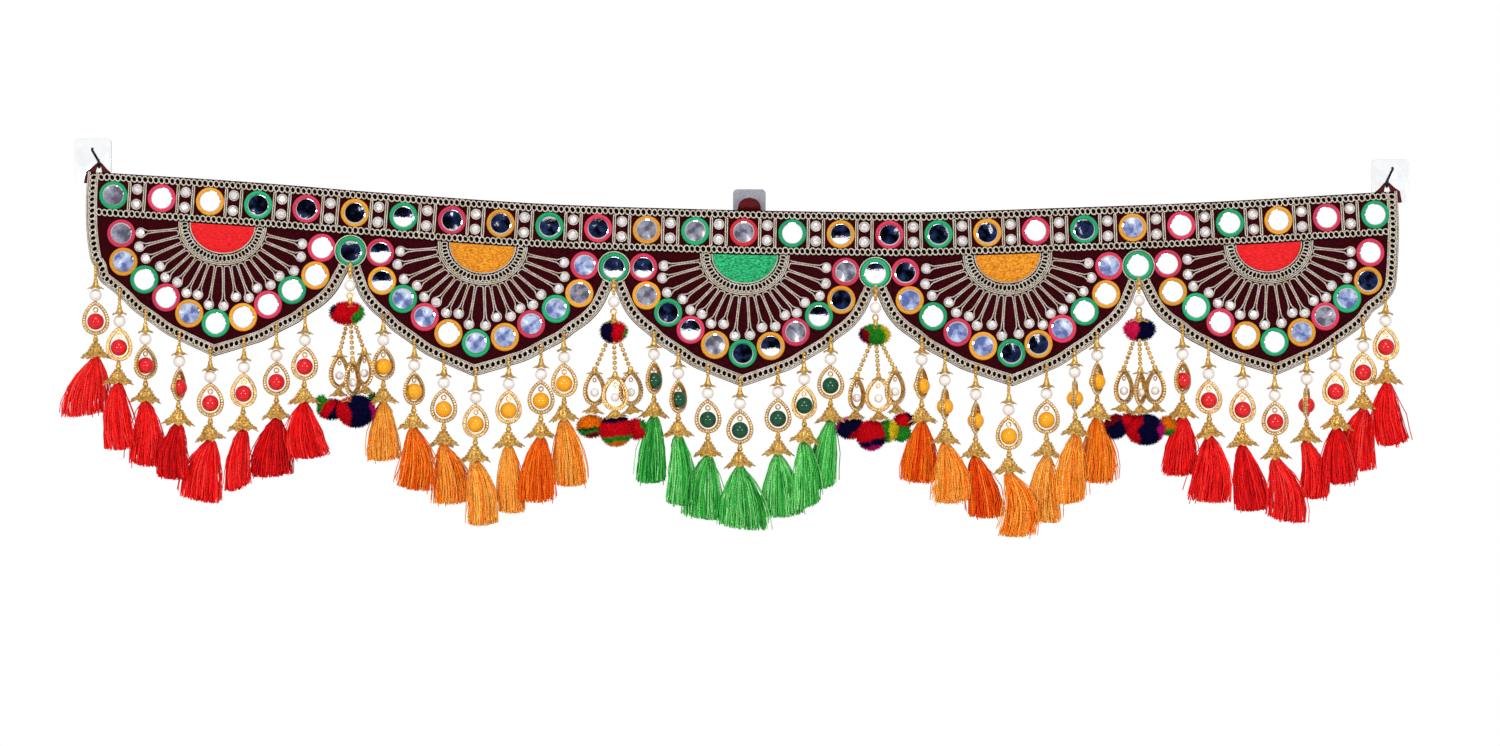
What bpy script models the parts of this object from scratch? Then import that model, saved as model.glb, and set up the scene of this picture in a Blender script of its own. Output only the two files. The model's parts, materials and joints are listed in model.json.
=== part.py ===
# Beaded toran: a scalloped felt door hanging with braid, mirrors, tassel strings and pompoms,
# hung by three ribbon loops on three adhesive hooks.
#
# Frame: metres, +Z up, +X to the viewer's right, the wall is the plane y = 0 and the front
# faces -Y. The origin is the middle of the centre hook plate's back.
#
# The flat pieces are drawn on the flat cloth in millimetres: u runs along the top edge from the
# left end, v runs down from the top edge, and w runs forward from the back of the cloth.
# hung() carries a flat point to where it hangs.

import math

import bmesh
import bpy
from mathutils import Vector
from mathutils.geometry import delaunay_2d_cdt

MM = 0.001
GAP = 0.3
TRIM_GAP = 0.4

# Felt panel
PANEL_WIDTH = 1016.0
PANEL_LEFT_X = -513.3
FELT_THICKNESS = 2.0
WALL_GAP = 7.0
BAND_HEIGHT = 34.0
SCALLOP_COUNT = 5
SCALLOP_PITCH = 201.6
FIRST_SCALLOP = 107.4
TIP_DROP = 136.9
EDGE_STEP = 18.8
INNER_ROWS = (BAND_HEIGHT, 72.0, 102.0)
INNER_MARGIN = 12.0
EDGE_CLEAR = 6.0
MITRE_LIMIT = 0.3

# How the cloth hangs: it bows off the wall between the hooks and ripples a little lower down
BOW = 3.0
TIP_LEAN = 1.5
RIPPLE = 0.6
RIPPLE_PITCH = 215.0

# The top edge sags between the hooks: (u, height)
TOP_EDGE = (
    (0.0, 29.8),
    (120.0, 22.0),
    (240.0, 12.4),
    (360.0, 4.4),
    (475.0, 0.6),
    (560.0, -1.2),
    (640.0, -2.0),
    (740.0, 1.0),
    (860.0, 5.6),
    (1016.0, 14.6),
)

# Half of one scallop's lower edge, from its point out to the gap: (distance, drop)
SCALLOP_EDGE = (
    (0.0, TIP_DROP),
    (12.0, 132.6),
    (27.0, 126.8),
    (39.0, 121.8),
    (52.0, 113.6),
    (65.0, 105.6),
    (73.0, 98.5),
    (82.0, 91.5),
    (89.0, 84.0),
    (94.0, 76.0),
    (97.5, 68.0),
)
GAP_TOP = 60.0

# The two ends differ a little: (distance from the scallop's middle, drop)
LEFT_END = ((82.0, 91.5), (92.8, 83.6), (96.6, 73.8), (100.8, 67.8), (105.3, 45.6), (107.4, 20.0))
RIGHT_END = ((77.8, 92.4), (87.2, 86.0), (95.4, 76.5), (98.6, 62.0), (101.6, 32.2), (102.2, 16.0))
END_SHOULDER = 75.0

# Braid
BRAID_THICKNESS = 1.4
BRAID_INSET = 0.8
TOP_BRAID = 6.2
EDGE_BRAID = 8.0
ARCH_INNER = 26.0
ARCH_OUTER = 35.6
ARCH_STEPS = 10

# Mirrors in thread rings
MIRROR_SIDES = 10
BAND_MIRRORS = 27
BAND_MIRROR_FIRST = 20.2
BAND_MIRROR_PITCH = 37.56
MIRROR_RADIUS = 10.9
MIRROR_THICKNESS = 2.0
JUNCTION_RADIUS = 11.3
JUNCTION_DROP = 47.0
LINK_WIDTH = 5.0
LINK_REACH = 0.8

# Half of one garland, from the middle out: (distance, drop below the half moon's middle)
GARLAND = ((0.0, 76.3), (21.3, 70.1), (40.3, 58.9), (58.1, 46.1), (75.2, 33.3), (78.3, 11.6))

# Half moons
MOON_RADIUS = 24.8
MOON_DEPTH = 21.7
MOON_TOP = 34.8
MOON_THICKNESS = 1.6
MOON_CROWN = 1.2
MOON_STEPS = 12
MOON_COLOURS = ("satin_red", "satin_orange", "satin_green", "satin_orange", "satin_red")

# A half moon's inner points lie on a smaller half round: shares of its drop, radius and depth
CROWN_DROP = 0.25
CROWN_RADIUS = 0.5
CROWN_DEPTH = 0.3
CROWN_STEPS = 4
CROWN_EDGE = 1.0

# Hooks: (name, u of the hook, plate middle x, plate middle z, plate width,
#         wire top x, wire top z, wire tip height, loop height)
HOOKS = (
    ("left", 8.1, -510.7, 39.5, 28.8, -511.0, 48.0, 3.0, 7.6),
    ("centre", 513.3, 0.0, 0.0, 25.4, 0.3, 9.0, 1.2, 9.4),
    ("right", 1008.6, 498.8, 23.2, 29.2, 500.2, 33.0, 3.0, 7.4),
)
PLATE_HEIGHT = 33.0
PLATE_THICKNESS = 1.5
PLATE_CORNER = 3.5
CORNER_STEPS = 3
WIRE_RADIUS = 1.0
WIRE_STANDOFF = 3.0
WIRE_SHOULDER = 1.2
WIRE_BEND = 3.1
WIRE_STEPS = 6
WIRE_REST = 4.0

# Ribbon loops
RIBBON_THICKNESS = 1.2
RIBBON_TAIL = 9.0
LOOP_HALF = 11.0
LOOP_SHOULDER = 9.9
LOOP_SLOT_TOP = 1.6
LOOP_SLOT_FOOT = 4.2

# Strings: every row hangs below a point of the lower edge
# (x, height of the tassel's top, tassel's sideways lean, tassel's spread, tassel's length,
#  turn of the teardrop in degrees, forward set of the tassel)
STRINGS = {
    1: (
        (-506.4, -116.2, -8.0, 37.0, 44.0, 0, 0.0),
        (-487.8, -136.4, 2.3, 23.0, 50.0, 0, 7.0),
        (-467.6, -150.3, 0.8, 24.8, 49.0, 35, 0.0),
        (-441.3, -167.4, -3.1, 23.0, 42.0, 75, 7.0),
        (-417.3, -179.5, -8.0, 31.0, 47.0, 0, 0.0),
        (-391.3, -172.1, -3.9, 18.0, 45.0, 0, 7.0),
        (-366.1, -163.1, -4.3, 31.5, 44.5, 0, 0.0),
        (-344.0, -151.1, 4.3, 30.0, 42.0, 0, 7.0),
    ),
    2: (
        (-283.2, -151.1, 0.8, 24.8, 44.0, 35, 0.0),
        (-259.2, -170.5, 0.8, 26.0, 47.0, 40, 7.0),
        (-236.4, -184.1, 6.5, 29.0, 44.5, 0, 0.0),
        (-211.6, -195.6, 5.9, 23.0, 49.0, 0, 7.0),
        (-186.3, -185.0, 2.3, 20.0, 50.5, 15, 0.0),
        (-161.2, -177.5, -3.4, 27.0, 49.5, 0, 7.0),
        (-143.4, -164.3, 4.7, 25.5, 50.5, 0, 0.0),
    ),
    3: (
        (-73.9, -162.0, -1.6, 21.5, 50.5, 60, 0.0),
        (-55.0, -176.7, 0.9, 19.5, 52.5, 45, 7.0),
        (-32.1, -192.2, -3.5, 33.0, 48.0, 0, 0.0),
        (-7.3, -200.3, 2.7, 37.0, 47.5, 0, 7.0),
        (22.2, -191.4, 3.5, 31.5, 47.5, 0, 0.0),
        (42.5, -181.3, 2.1, 20.0, 49.5, 20, 7.0),
        (62.9, -165.8, -7.0, 20.0, 51.0, 0, 0.0),
    ),
    4: (
        (133.4, -166.2, -2.7, 27.5, 46.0, 60, 0.0),
        (151.3, -182.1, 4.2, 26.0, 45.5, 70, 7.0),
        (175.1, -193.0, 7.5, 27.5, 46.5, 65, 0.0),
        (200.6, -205.0, 6.0, 27.5, 48.5, 0, 7.0),
        (229.9, -192.5, -1.9, 22.5, 50.0, 0, 0.0),
        (251.7, -175.9, -4.0, 23.5, 52.0, 80, 7.0),
        (269.2, -162.8, 0.2, 26.0, 49.5, 55, 0.0),
    ),
    5: (
        (335.3, -162.0, -2.3, 24.5, 45.0, 45, 0.0),
        (355.4, -177.2, -0.4, 31.5, 50.0, 0, 7.0),
        (381.8, -184.5, 8.0, 26.5, 49.5, 0, 0.0),
        (406.6, -193.8, 8.5, 29.5, 48.0, 0, 7.0),
        (431.4, -181.1, 5.4, 20.0, 43.5, 80, 0.0),
        (453.6, -170.5, 2.6, 26.0, 42.5, 0, 7.0),
        (475.5, -155.8, -5.8, 29.0, 47.0, 0, 0.0),
        (492.8, -136.0, 4.4, 23.0, 47.0, 0, 7.0),
    ),
}

# One string's turned form above its tassel: (height, half width, half depth, turns with the drop)
STEM_RISE = 7.0
STEM_HALF = (1.5, 1.2)
STRING_FORM = (
    (61.5, 1.5, 1.2, 0),
    (55.0, 5.5, 4.4, 0),
    (54.3, 1.8, 1.8, 0),
    (50.0, 4.7, 4.2, 0),
    (45.6, 1.3, 1.3, 0),
    (39.0, 6.4, 1.8, 1),
    (29.5, 10.4, 3.8, 1),
    (22.0, 7.0, 2.0, 1),
    (18.6, 1.2, 1.2, 0),
    (13.4, 2.4, 2.2, 0),
    (1.8, 10.2, 3.9, 0),
    (1.2, 4.4, 3.0, 0),
)
LEAN_START = 45.6
SECTION_SIDES = 4
TASSEL_COLOURS = {1: "red", 2: "orange", 3: "green", 4: "orange", 5: "red"}

# Tassel: a bound neck, then locks that fan out
NECK_LENGTH = 9.0
NECK_SHARE = 0.34
NECK_DEPTH = 3.3
LOCKS = 5
LOCK_ROOT_SHARE = 0.62
LOCK_ROOT_DEPTH = 1.3
LOCK_TIP_DEPTH = 2.6
LOCK_SINK = 1.5
LOCK_GAP = 0.6
LOCK_ROOT_GAP = 0.3
LOCK_BACK = 0.6
LOCK_LAG = 1.5

# Pompom clusters: (drop below the junction mirror's middle, half width)
CLUSTER_FORM = (
    (9.0, 1.6),
    (13.0, 1.6),
    (17.0, 2.7),
    (20.6, 1.6),
    (27.0, 4.6),
    (31.6, 1.4),
    (35.6, 2.4),
    (38.4, 1.6),
    (43.5, 6.0),
)
CLUSTER_DEPTH = 2.7
SEWN_DROP = 13.0
POMPOM_DROP = 50.4
POMPOM_HALF = (12.8, 9.6, 9.6)
POMPOM_LOCKS = 7
LOCK_REACH = 1.6

# The three pendants of a cluster: (drop, half width, half depth)
PENDANT_FORM = (
    (57.0, 1.2, 1.2),
    (78.5, 1.2, 1.2),
    (85.0, 5.4, 1.5),
    (94.5, 9.4, 3.2),
    (102.5, 6.0, 1.7),
    (106.0, 1.2, 1.2),
    (111.0, 6.4, 3.4),
    (111.8, 2.6, 2.6),
)
CHAIN_TOP = 57.0
CHAIN_FOOT = 78.5
DROP_MIDDLE = 94.5
PENDANT_FOOT = 111.8
FOOT_HALF = (2.6, 2.6)
PENDANTS = ((-14.5, 1.2), (0.0, -4.4), (11.0, 1.2))
PENDANT_ROOT_SHARE = 0.22
PENDANT_SINK = 0.4

# The lower pompoms of each cluster: (sideways, drop, radius), a little flat from front to back
LOW_POMPOM_DEPTH = 0.8
LOW_POMPOM_HEIGHT = 0.9
LOWER_POMPOMS = {
    1: ((-16.5, 120.0, 7.2), (-5.5, 125.5, 8.4), (6.5, 122.5, 10.6)),
    2: ((-17.5, 125.0, 8.2), (-1.0, 129.0, 10.2), (15.5, 125.5, 8.4)),
    3: ((-16.5, 120.5, 7.8), (1.0, 127.0, 10.0), (16.5, 119.5, 8.4)),
    4: ((-13.5, 124.5, 9.4), (3.5, 125.0, 9.8), (17.4, 122.5, 8.0)),
}

# Finishes: colour, roughness, metallic
FINISHES = {
    "felt": ((0.060, 0.004, 0.008), 0.95, 0.0),
    "braid": ((0.610, 0.520, 0.430), 0.45, 0.6),
    "mirror": ((0.800, 0.800, 0.820), 0.08, 1.0),
    "satin_red": ((0.680, 0.020, 0.022), 0.55, 0.0),
    "satin_orange": ((0.900, 0.290, 0.020), 0.55, 0.0),
    "satin_green": ((0.020, 0.420, 0.170), 0.55, 0.0),
    "ribbon": ((0.120, 0.008, 0.014), 0.80, 0.0),
    "hook": ((0.800, 0.820, 0.840), 0.15, 0.0),
    "tassel_red": ((0.560, 0.010, 0.012), 0.60, 0.0),
    "tassel_orange": ((0.900, 0.230, 0.016), 0.60, 0.0),
    "tassel_green": ((0.060, 0.330, 0.070), 0.60, 0.0),
    "pompom": ((0.600, 0.030, 0.060), 0.90, 0.0),
}


def clear_scene():
    for item in list(bpy.data.objects):
        bpy.data.objects.remove(item, do_unlink=True)


def finish(name):
    """One shared material for each finish."""
    material = bpy.data.materials.get(name)
    if material:
        return material
    colour, roughness, metallic = FINISHES[name]
    material = bpy.data.materials.new(name)
    material.use_nodes = True
    shader = material.node_tree.nodes["Principled BSDF"]
    shader.inputs["Base Color"].default_value = (*colour, 1.0)
    shader.inputs["Roughness"].default_value = roughness
    shader.inputs["Metallic"].default_value = metallic
    return material


def add_object(name, shape, material_name):
    """Turn a bmesh in millimetres into an object in metres."""
    bmesh.ops.triangulate(shape, faces=shape.faces[:])
    bmesh.ops.recalc_face_normals(shape, faces=shape.faces[:])
    bmesh.ops.scale(shape, vec=(MM, MM, MM), verts=shape.verts[:])
    mesh = bpy.data.meshes.new(name)
    shape.to_mesh(mesh)
    shape.free()
    mesh.materials.append(finish(material_name))
    item = bpy.data.objects.new(name, mesh)
    bpy.context.scene.collection.objects.link(item)
    return item


def join_solids(base, others):
    """Unite the other solids with the base, which keeps its name."""
    for number, other in enumerate(others):
        other.hide_render = True
        other.display_type = "WIRE"
        cut = base.modifiers.new(f"join_{number}", "BOOLEAN")
        cut.operation = "UNION"
        cut.solver = "EXACT"
        cut.object = other
    graph = bpy.context.evaluated_depsgraph_get()
    mesh = bpy.data.meshes.new_from_object(base.evaluated_get(graph))
    base.modifiers.clear()
    base.data = mesh
    for other in others:
        bpy.data.objects.remove(other, do_unlink=True)
    return base


def edge_height(u):
    """Height and slope of the top edge: a smooth curve through its rows."""
    rows = TOP_EDGE
    last = len(rows) - 2
    index = last
    for number in range(last + 1):
        if u <= rows[number + 1][0]:
            index = number
            break
    tangents = []
    for number in (index, index + 1):
        before = rows[max(number - 1, 0)]
        after = rows[min(number + 1, len(rows) - 1)]
        tangents.append((after[1] - before[1]) / (after[0] - before[0]))
    (u0, z0), (u1, z1) = rows[index], rows[index + 1]
    span = u1 - u0
    t = (u - u0) / span
    height = (
        z0 * (2 * t**3 - 3 * t**2 + 1)
        + tangents[0] * span * (t**3 - 2 * t**2 + t)
        + z1 * (3 * t**2 - 2 * t**3)
        + tangents[1] * span * (t**3 - t**2)
    )
    slope = (
        (z0 - z1) * (6 * t**2 - 6 * t) / span
        + tangents[0] * (3 * t**2 - 4 * t + 1)
        + tangents[1] * (3 * t**2 - 2 * t)
    )
    return height, slope


def stand_off(u, v):
    """How far the back of the cloth stands off the wall."""
    places = [hook[1] for hook in HOOKS]
    arc = 0.0
    for start, end in zip(places, places[1:]):
        if start < u < end:
            arc = math.sin(math.pi * (u - start) / (end - start)) ** 2
    low = max(v, 0.0) / TIP_DROP
    ripple = RIPPLE * math.sin(2 * math.pi * u / RIPPLE_PITCH) * low
    return WALL_GAP + BOW * arc * (0.5 + 0.5 * low) + TIP_LEAN * low + ripple


def hung(u, v, w):
    """Where a point of the flat cloth hangs."""
    height, slope = edge_height(u)
    angle = math.atan(slope)
    x = PANEL_LEFT_X + u + v * math.sin(angle)
    z = height - v * math.cos(angle)
    return Vector((x, -stand_off(u, v) - w, z))


def scallop_middle(number):
    return FIRST_SCALLOP + SCALLOP_PITCH * number


def lower_edge():
    """The lower edge from the left end to the right end, as (u, v)."""
    points = []
    first = scallop_middle(0)
    last = scallop_middle(SCALLOP_COUNT - 1)
    points += [(first - distance, drop) for distance, drop in reversed(LEFT_END)]
    for number in range(SCALLOP_COUNT):
        middle = scallop_middle(number)
        for distance, drop in reversed(SCALLOP_EDGE):
            if number > 0 or distance < END_SHOULDER:
                points.append((middle - distance, drop))
        for distance, drop in SCALLOP_EDGE[1:]:
            if number < SCALLOP_COUNT - 1 or distance < END_SHOULDER:
                points.append((middle + distance, drop))
        if number < SCALLOP_COUNT - 1:
            points.append((middle + SCALLOP_PITCH / 2, GAP_TOP))
    points += [(last + distance, drop) for distance, drop in RIGHT_END]
    return points


def top_points(start, end, v):
    """Points along a level line of the cloth, from start to end."""
    steps = max(1, round(abs(end - start) / EDGE_STEP))
    return [(start + (end - start) * step / steps, v) for step in range(steps + 1)]


def felt_outline():
    return top_points(PANEL_WIDTH, 0.0, 0.0) + lower_edge()


def inset(points, distance):
    """Move an open line of points to its left by a distance, mitred at its corners."""
    moved = []
    for index, point in enumerate(points):
        before = Vector(points[max(index - 1, 0)])
        here = Vector(point)
        after = Vector(points[min(index + 1, len(points) - 1)])
        normals = []
        for start, end in ((before, here), (here, after)):
            if (end - start).length > 0:
                along = (end - start).normalized()
                normals.append(Vector((along.y, -along.x)))
        bisector = sum(normals, Vector((0.0, 0.0))).normalized()
        reach = distance / max(bisector.dot(normals[0]), MITRE_LIMIT)
        moved.append(tuple(here + bisector * reach))
    return moved


def inside(point, polygon):
    """True where a point lies inside a closed polygon."""
    x, y = point
    found = False
    for (x0, y0), (x1, y1) in zip(polygon, polygon[1:] + polygon[:1]):
        if (y0 > y) != (y1 > y) and x < x0 + (y - y0) * (x1 - x0) / (y1 - y0):
            found = not found
    return found


def disc(u, v, radius):
    """A mirror's rim as a polygon with a flat side at its top and bottom."""
    turn = 2 * math.pi / MIRROR_SIDES
    angles = [math.pi / 2 + turn * (side + 0.5) for side in range(MIRROR_SIDES)]
    return [(u + radius * math.cos(angle), v + radius * math.sin(angle)) for angle in angles]


def fill(points, edges, holds):
    """Triangulate the points between their edges and keep the triangles that holds() accepts."""
    spots, _, triangles, *_ = delaunay_2d_cdt(points, edges, [], 0, 1e-4)
    kept = []
    for triangle in triangles:
        middle = sum((spots[corner] for corner in triangle), Vector((0.0, 0.0))) / 3
        if holds(tuple(middle)):
            kept.append(triangle)
    return spots, kept


def rim_edges(triangles):
    """The directed edges that only one triangle uses."""
    sides = {}
    for triangle in triangles:
        for start, end in zip(triangle, triangle[1:] + triangle[:1]):
            if (end, start) in sides:
                del sides[(end, start)]
            else:
                sides[(start, end)] = True
    return list(sides)


def plate(polygons, holds, back, front, extra=(), crown=None):
    """A flat piece, hung: what holds() accepts of the polygons, given a thickness."""
    points = []
    edges = []
    for polygon in polygons:
        start = len(points)
        count = len(polygon)
        points += [Vector(point) for point in polygon]
        edges += [(start + index, start + (index + 1) % count) for index in range(count)]
    spots, kept = fill(points, edges, holds)
    rim = rim_edges(kept)
    corners = sorted({corner for edge in rim for corner in edge})
    place = {corner: index for index, corner in enumerate(corners)}
    points = [spots[corner] for corner in corners] + [Vector(point) for point in extra]
    spots, kept = fill(points, [(place[start], place[end]) for start, end in rim], holds)
    shape = bmesh.new()
    lower = {}
    upper = {}
    for corner in sorted({corner for triangle in kept for corner in triangle}):
        u, v = spots[corner]
        rise = crown(u, v) if crown else 0.0
        lower[corner] = shape.verts.new(hung(u, v, back))
        upper[corner] = shape.verts.new(hung(u, v, front + rise))
    for triangle in kept:
        shape.faces.new([upper[corner] for corner in triangle])
        shape.faces.new([lower[corner] for corner in reversed(triangle)])
    for start, end in rim_edges(kept):
        shape.faces.new([lower[start], lower[end], upper[end], upper[start]])
    return shape


def make_felt_panel():
    outline = felt_outline()
    rows = []
    shifts = (-EDGE_CLEAR, EDGE_CLEAR)
    for v in INNER_ROWS:
        for point in top_points(INNER_MARGIN, PANEL_WIDTH - INNER_MARGIN, v):
            near = [(point[0] + du, point[1] + dv) for du in shifts for dv in shifts]
            if all(inside(corner, outline) for corner in near):
                rows.append(point)
    shape = plate([outline], lambda spot: inside(spot, outline), 0.0, FELT_THICKNESS, rows)
    return add_object("felt_panel", shape, "felt")


def half_round(middle, top, radius, depth, steps):
    """A half circle that hangs from a level line, from its right end to its left end."""
    return [
        (
            middle + radius * math.cos(math.pi * step / steps),
            top + depth * math.sin(math.pi * step / steps),
        )
        for step in range(steps + 1)
    ]


def make_braid():
    """The braid frame with the band mirrors and the junction mirrors that its cords touch."""
    lower = lower_edge()
    rim = inset(lower, BRAID_INSET)
    border = top_points(PANEL_WIDTH - BRAID_INSET, BRAID_INSET, BRAID_INSET) + rim[1:-1]
    slot_left = BRAID_INSET + TOP_BRAID
    slot_right = PANEL_WIDTH - BRAID_INSET - TOP_BRAID
    slot_foot = BAND_HEIGHT - TOP_BRAID
    slot = [
        (slot_left, TOP_BRAID),
        (slot_right, TOP_BRAID),
        (slot_right, slot_foot),
        (slot_left, slot_foot),
    ]
    rim_radius = (slot_foot - TOP_BRAID) / 2 / math.cos(math.pi / MIRROR_SIDES)
    band_middle = (slot_foot + TOP_BRAID) / 2
    band = [
        disc(BAND_MIRROR_FIRST + BAND_MIRROR_PITCH * number, band_middle, rim_radius)
        for number in range(BAND_MIRRORS)
    ]
    inner = inset(lower, BRAID_INSET + EDGE_BRAID)
    inner = [point for point in inner if point[1] > MOON_TOP]
    arches = []
    moons = []
    moon_top = MOON_TOP - GAP
    for number in range(SCALLOP_COUNT):
        middle = scallop_middle(number)
        arches.append(half_round(middle, BAND_HEIGHT, ARCH_OUTER, ARCH_OUTER, ARCH_STEPS))
        moons.append(half_round(middle, moon_top, ARCH_INNER, ARCH_INNER - GAP, ARCH_STEPS))
    window = [(inner[0][0], BAND_HEIGHT)] + inner + [(inner[-1][0], BAND_HEIGHT)]
    for arch in reversed(arches):
        window += arch
    junctions = [
        disc(scallop_middle(number) + SCALLOP_PITCH / 2, JUNCTION_DROP, JUNCTION_RADIUS)
        for number in range(SCALLOP_COUNT - 1)
    ]

    def holds(spot):
        if any(inside(spot, round_one) for round_one in band + junctions):
            return True
        if not inside(spot, border) or inside(spot, slot) or inside(spot, window):
            return False
        return not any(inside(spot, moon) for moon in moons)

    back = FELT_THICKNESS + TRIM_GAP
    polygons = [border, slot, window] + band + junctions + moons
    shape = plate(polygons, holds, back, back + BRAID_THICKNESS)
    return add_object("braid_and_band_mirrors", shape, "braid")


def make_half_moon(number):
    middle = scallop_middle(number)
    outline = half_round(middle, MOON_TOP, MOON_RADIUS, MOON_DEPTH, MOON_STEPS)
    crown_top = MOON_TOP + MOON_DEPTH * CROWN_DROP
    crown_radius = MOON_RADIUS * CROWN_RADIUS
    spots = half_round(middle, crown_top, crown_radius, MOON_DEPTH * CROWN_DEPTH, CROWN_STEPS)

    def crown(u, v):
        if v < MOON_TOP + CROWN_EDGE:
            return 0.0
        reach = math.hypot((u - middle) / MOON_RADIUS, (v - MOON_TOP) / MOON_DEPTH)
        return MOON_CROWN * math.sqrt(max(0.0, 1.0 - reach))

    def holds(spot):
        return inside(spot, outline)

    back = FELT_THICKNESS + TRIM_GAP
    shape = plate([outline], holds, back, back + MOON_THICKNESS, spots, crown)
    return add_object(f"half_moon_{number + 1}", shape, MOON_COLOURS[number])


def make_garland(number):
    """Eleven mirrors in a chain, each thread ring caught to the next."""
    middle = scallop_middle(number)
    right = [(middle + distance, MOON_TOP + drop) for distance, drop in GARLAND]
    left = [(middle - distance, MOON_TOP + drop) for distance, drop in reversed(GARLAND[1:])]
    chain = left + right
    pieces = [disc(u, v, MIRROR_RADIUS) for u, v in chain]
    for start, end in zip(chain, chain[1:]):
        along = (Vector(end) - Vector(start)).normalized()
        across = Vector((along.y, -along.x)) * LINK_WIDTH / 2
        reach = along * MIRROR_RADIUS * LINK_REACH
        near = Vector(start) + reach
        far = Vector(end) - reach
        corners = (near + across, far + across, far - across, near - across)
        pieces.append([tuple(corner) for corner in corners])

    def holds(spot):
        return any(inside(spot, piece) for piece in pieces)

    back = FELT_THICKNESS + TRIM_GAP
    shape = plate(pieces, holds, back, back + MIRROR_THICKNESS)
    return add_object(f"mirror_garland_{number + 1}", shape, "mirror")


def make_loop(hook):
    """A ribbon folded to a point, its tails behind the top edge."""
    name, place, *_, height = hook
    slot_top = WIRE_REST + WIRE_RADIUS + GAP
    outline = [
        (place - LOOP_HALF, RIBBON_TAIL),
        (place - LOOP_SHOULDER, 0.0),
        (place - LOOP_SLOT_TOP, -height),
        (place + LOOP_SLOT_TOP, -height),
        (place + LOOP_SHOULDER, 0.0),
        (place + LOOP_HALF, RIBBON_TAIL),
        (place + LOOP_SLOT_FOOT, RIBBON_TAIL),
        (place + LOOP_SLOT_TOP, -slot_top),
        (place - LOOP_SLOT_TOP, -slot_top),
        (place - LOOP_SLOT_FOOT, RIBBON_TAIL),
    ]
    shape = plate([outline], lambda spot: inside(spot, outline), -GAP - RIBBON_THICKNESS, -GAP)
    return add_object(f"ribbon_loop_{name}", shape, "ribbon")


def make_hook(hook):
    """A small wall plate with a bent wire fused into its face."""
    name, place, plate_x, plate_z, width, top_x, top_z, tip, _ = hook
    shape = bmesh.new()
    face = []
    for corner, (sx, sz) in enumerate(((1, 1), (-1, 1), (-1, -1), (1, -1))):
        centre_x = plate_x + sx * (width / 2 - PLATE_CORNER)
        centre_z = plate_z + sz * (PLATE_HEIGHT / 2 - PLATE_CORNER)
        for step in range(CORNER_STEPS):
            angle = math.pi / 2 * (corner + step / (CORNER_STEPS - 1))
            x = centre_x + PLATE_CORNER * math.cos(angle)
            z = centre_z + PLATE_CORNER * math.sin(angle)
            face.append(shape.verts.new((x, 0.0, z)))
    front = bmesh.ops.extrude_face_region(shape, geom=[shape.faces.new(face)])["geom"]
    moving = [item for item in front if isinstance(item, bmesh.types.BMVert)]
    bmesh.ops.translate(shape, vec=(0.0, -PLATE_THICKNESS, 0.0), verts=moving)
    base = add_object(f"wall_hook_{name}", shape, "hook")

    rest = hung(place, -WIRE_REST, 0.0)
    bend_z = rest.z + WIRE_BEND
    line = [
        (top_x, -PLATE_THICKNESS / 2, top_z),
        (top_x, WIRE_SHOULDER / 2 - WIRE_STANDOFF, top_z),
        (top_x, -WIRE_STANDOFF, top_z - WIRE_SHOULDER),
        (rest.x, -WIRE_STANDOFF, bend_z),
    ]
    for step in range(1, WIRE_STEPS):
        angle = math.pi * step / WIRE_STEPS
        y = -WIRE_STANDOFF - WIRE_BEND + WIRE_BEND * math.cos(angle)
        line.append((rest.x, y, bend_z - WIRE_BEND * math.sin(angle)))
    line.append((rest.x, -WIRE_STANDOFF - 2 * WIRE_BEND, bend_z))
    line.append((rest.x, -WIRE_STANDOFF - 2 * WIRE_BEND, bend_z + tip))
    curve = bpy.data.curves.new("wire", "CURVE")
    curve.dimensions = "3D"
    curve.bevel_depth = WIRE_RADIUS * MM
    curve.bevel_resolution = 1
    curve.use_fill_caps = True
    spline = curve.splines.new("POLY")
    spline.points.add(len(line) - 1)
    for point, (x, y, z) in zip(spline.points, line):
        point.co = (x * MM, y * MM, z * MM, 1.0)
    wire = bpy.data.objects.new("wire", curve)
    bpy.context.scene.collection.objects.link(wire)
    graph = bpy.context.evaluated_depsgraph_get()
    shape = bmesh.new()
    shape.from_mesh(wire.evaluated_get(graph).to_mesh())
    bpy.data.objects.remove(wire, do_unlink=True)
    bmesh.ops.remove_doubles(shape, verts=shape.verts[:], dist=1e-6)
    bmesh.ops.scale(shape, vec=(1 / MM, 1 / MM, 1 / MM), verts=shape.verts[:])
    return join_solids(base, [add_object("wire", shape, "hook")])


def loft(rows):
    """A solid through level sections: (x, y, z, half width, half depth, turn)."""
    shape = bmesh.new()
    rings = []
    for x, y, z, half_width, half_depth, turn in rows:
        ring = []
        for side in range(SECTION_SIDES):
            angle = 2 * math.pi * side / SECTION_SIDES
            across = half_width * math.sin(angle)
            depth = -half_depth * math.cos(angle)
            dx = across * math.cos(turn) - depth * math.sin(turn)
            dy = across * math.sin(turn) + depth * math.cos(turn)
            ring.append(shape.verts.new((x + dx, y + dy, z)))
        rings.append(ring)
    for above, below in zip(rings, rings[1:]):
        for side in range(SECTION_SIDES):
            after = (side + 1) % SECTION_SIDES
            shape.faces.new([above[side], above[after], below[after], below[side]])
    shape.faces.new(rings[0])
    shape.faces.new(rings[-1])
    return shape


def edge_below(x):
    """Height of the lower edge at an x of the hung panel, and the front of the braid there."""
    points = [hung(u, v, FELT_THICKNESS + TRIM_GAP + BRAID_THICKNESS) for u, v in lower_edge()]
    for start, end in zip(points, points[1:]):
        if start.x <= x <= end.x:
            t = (x - start.x) / (end.x - start.x)
            return start.z + (end.z - start.z) * t, start.y + (end.y - start.y) * t
    raise ValueError(f"no edge at {x}")


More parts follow.
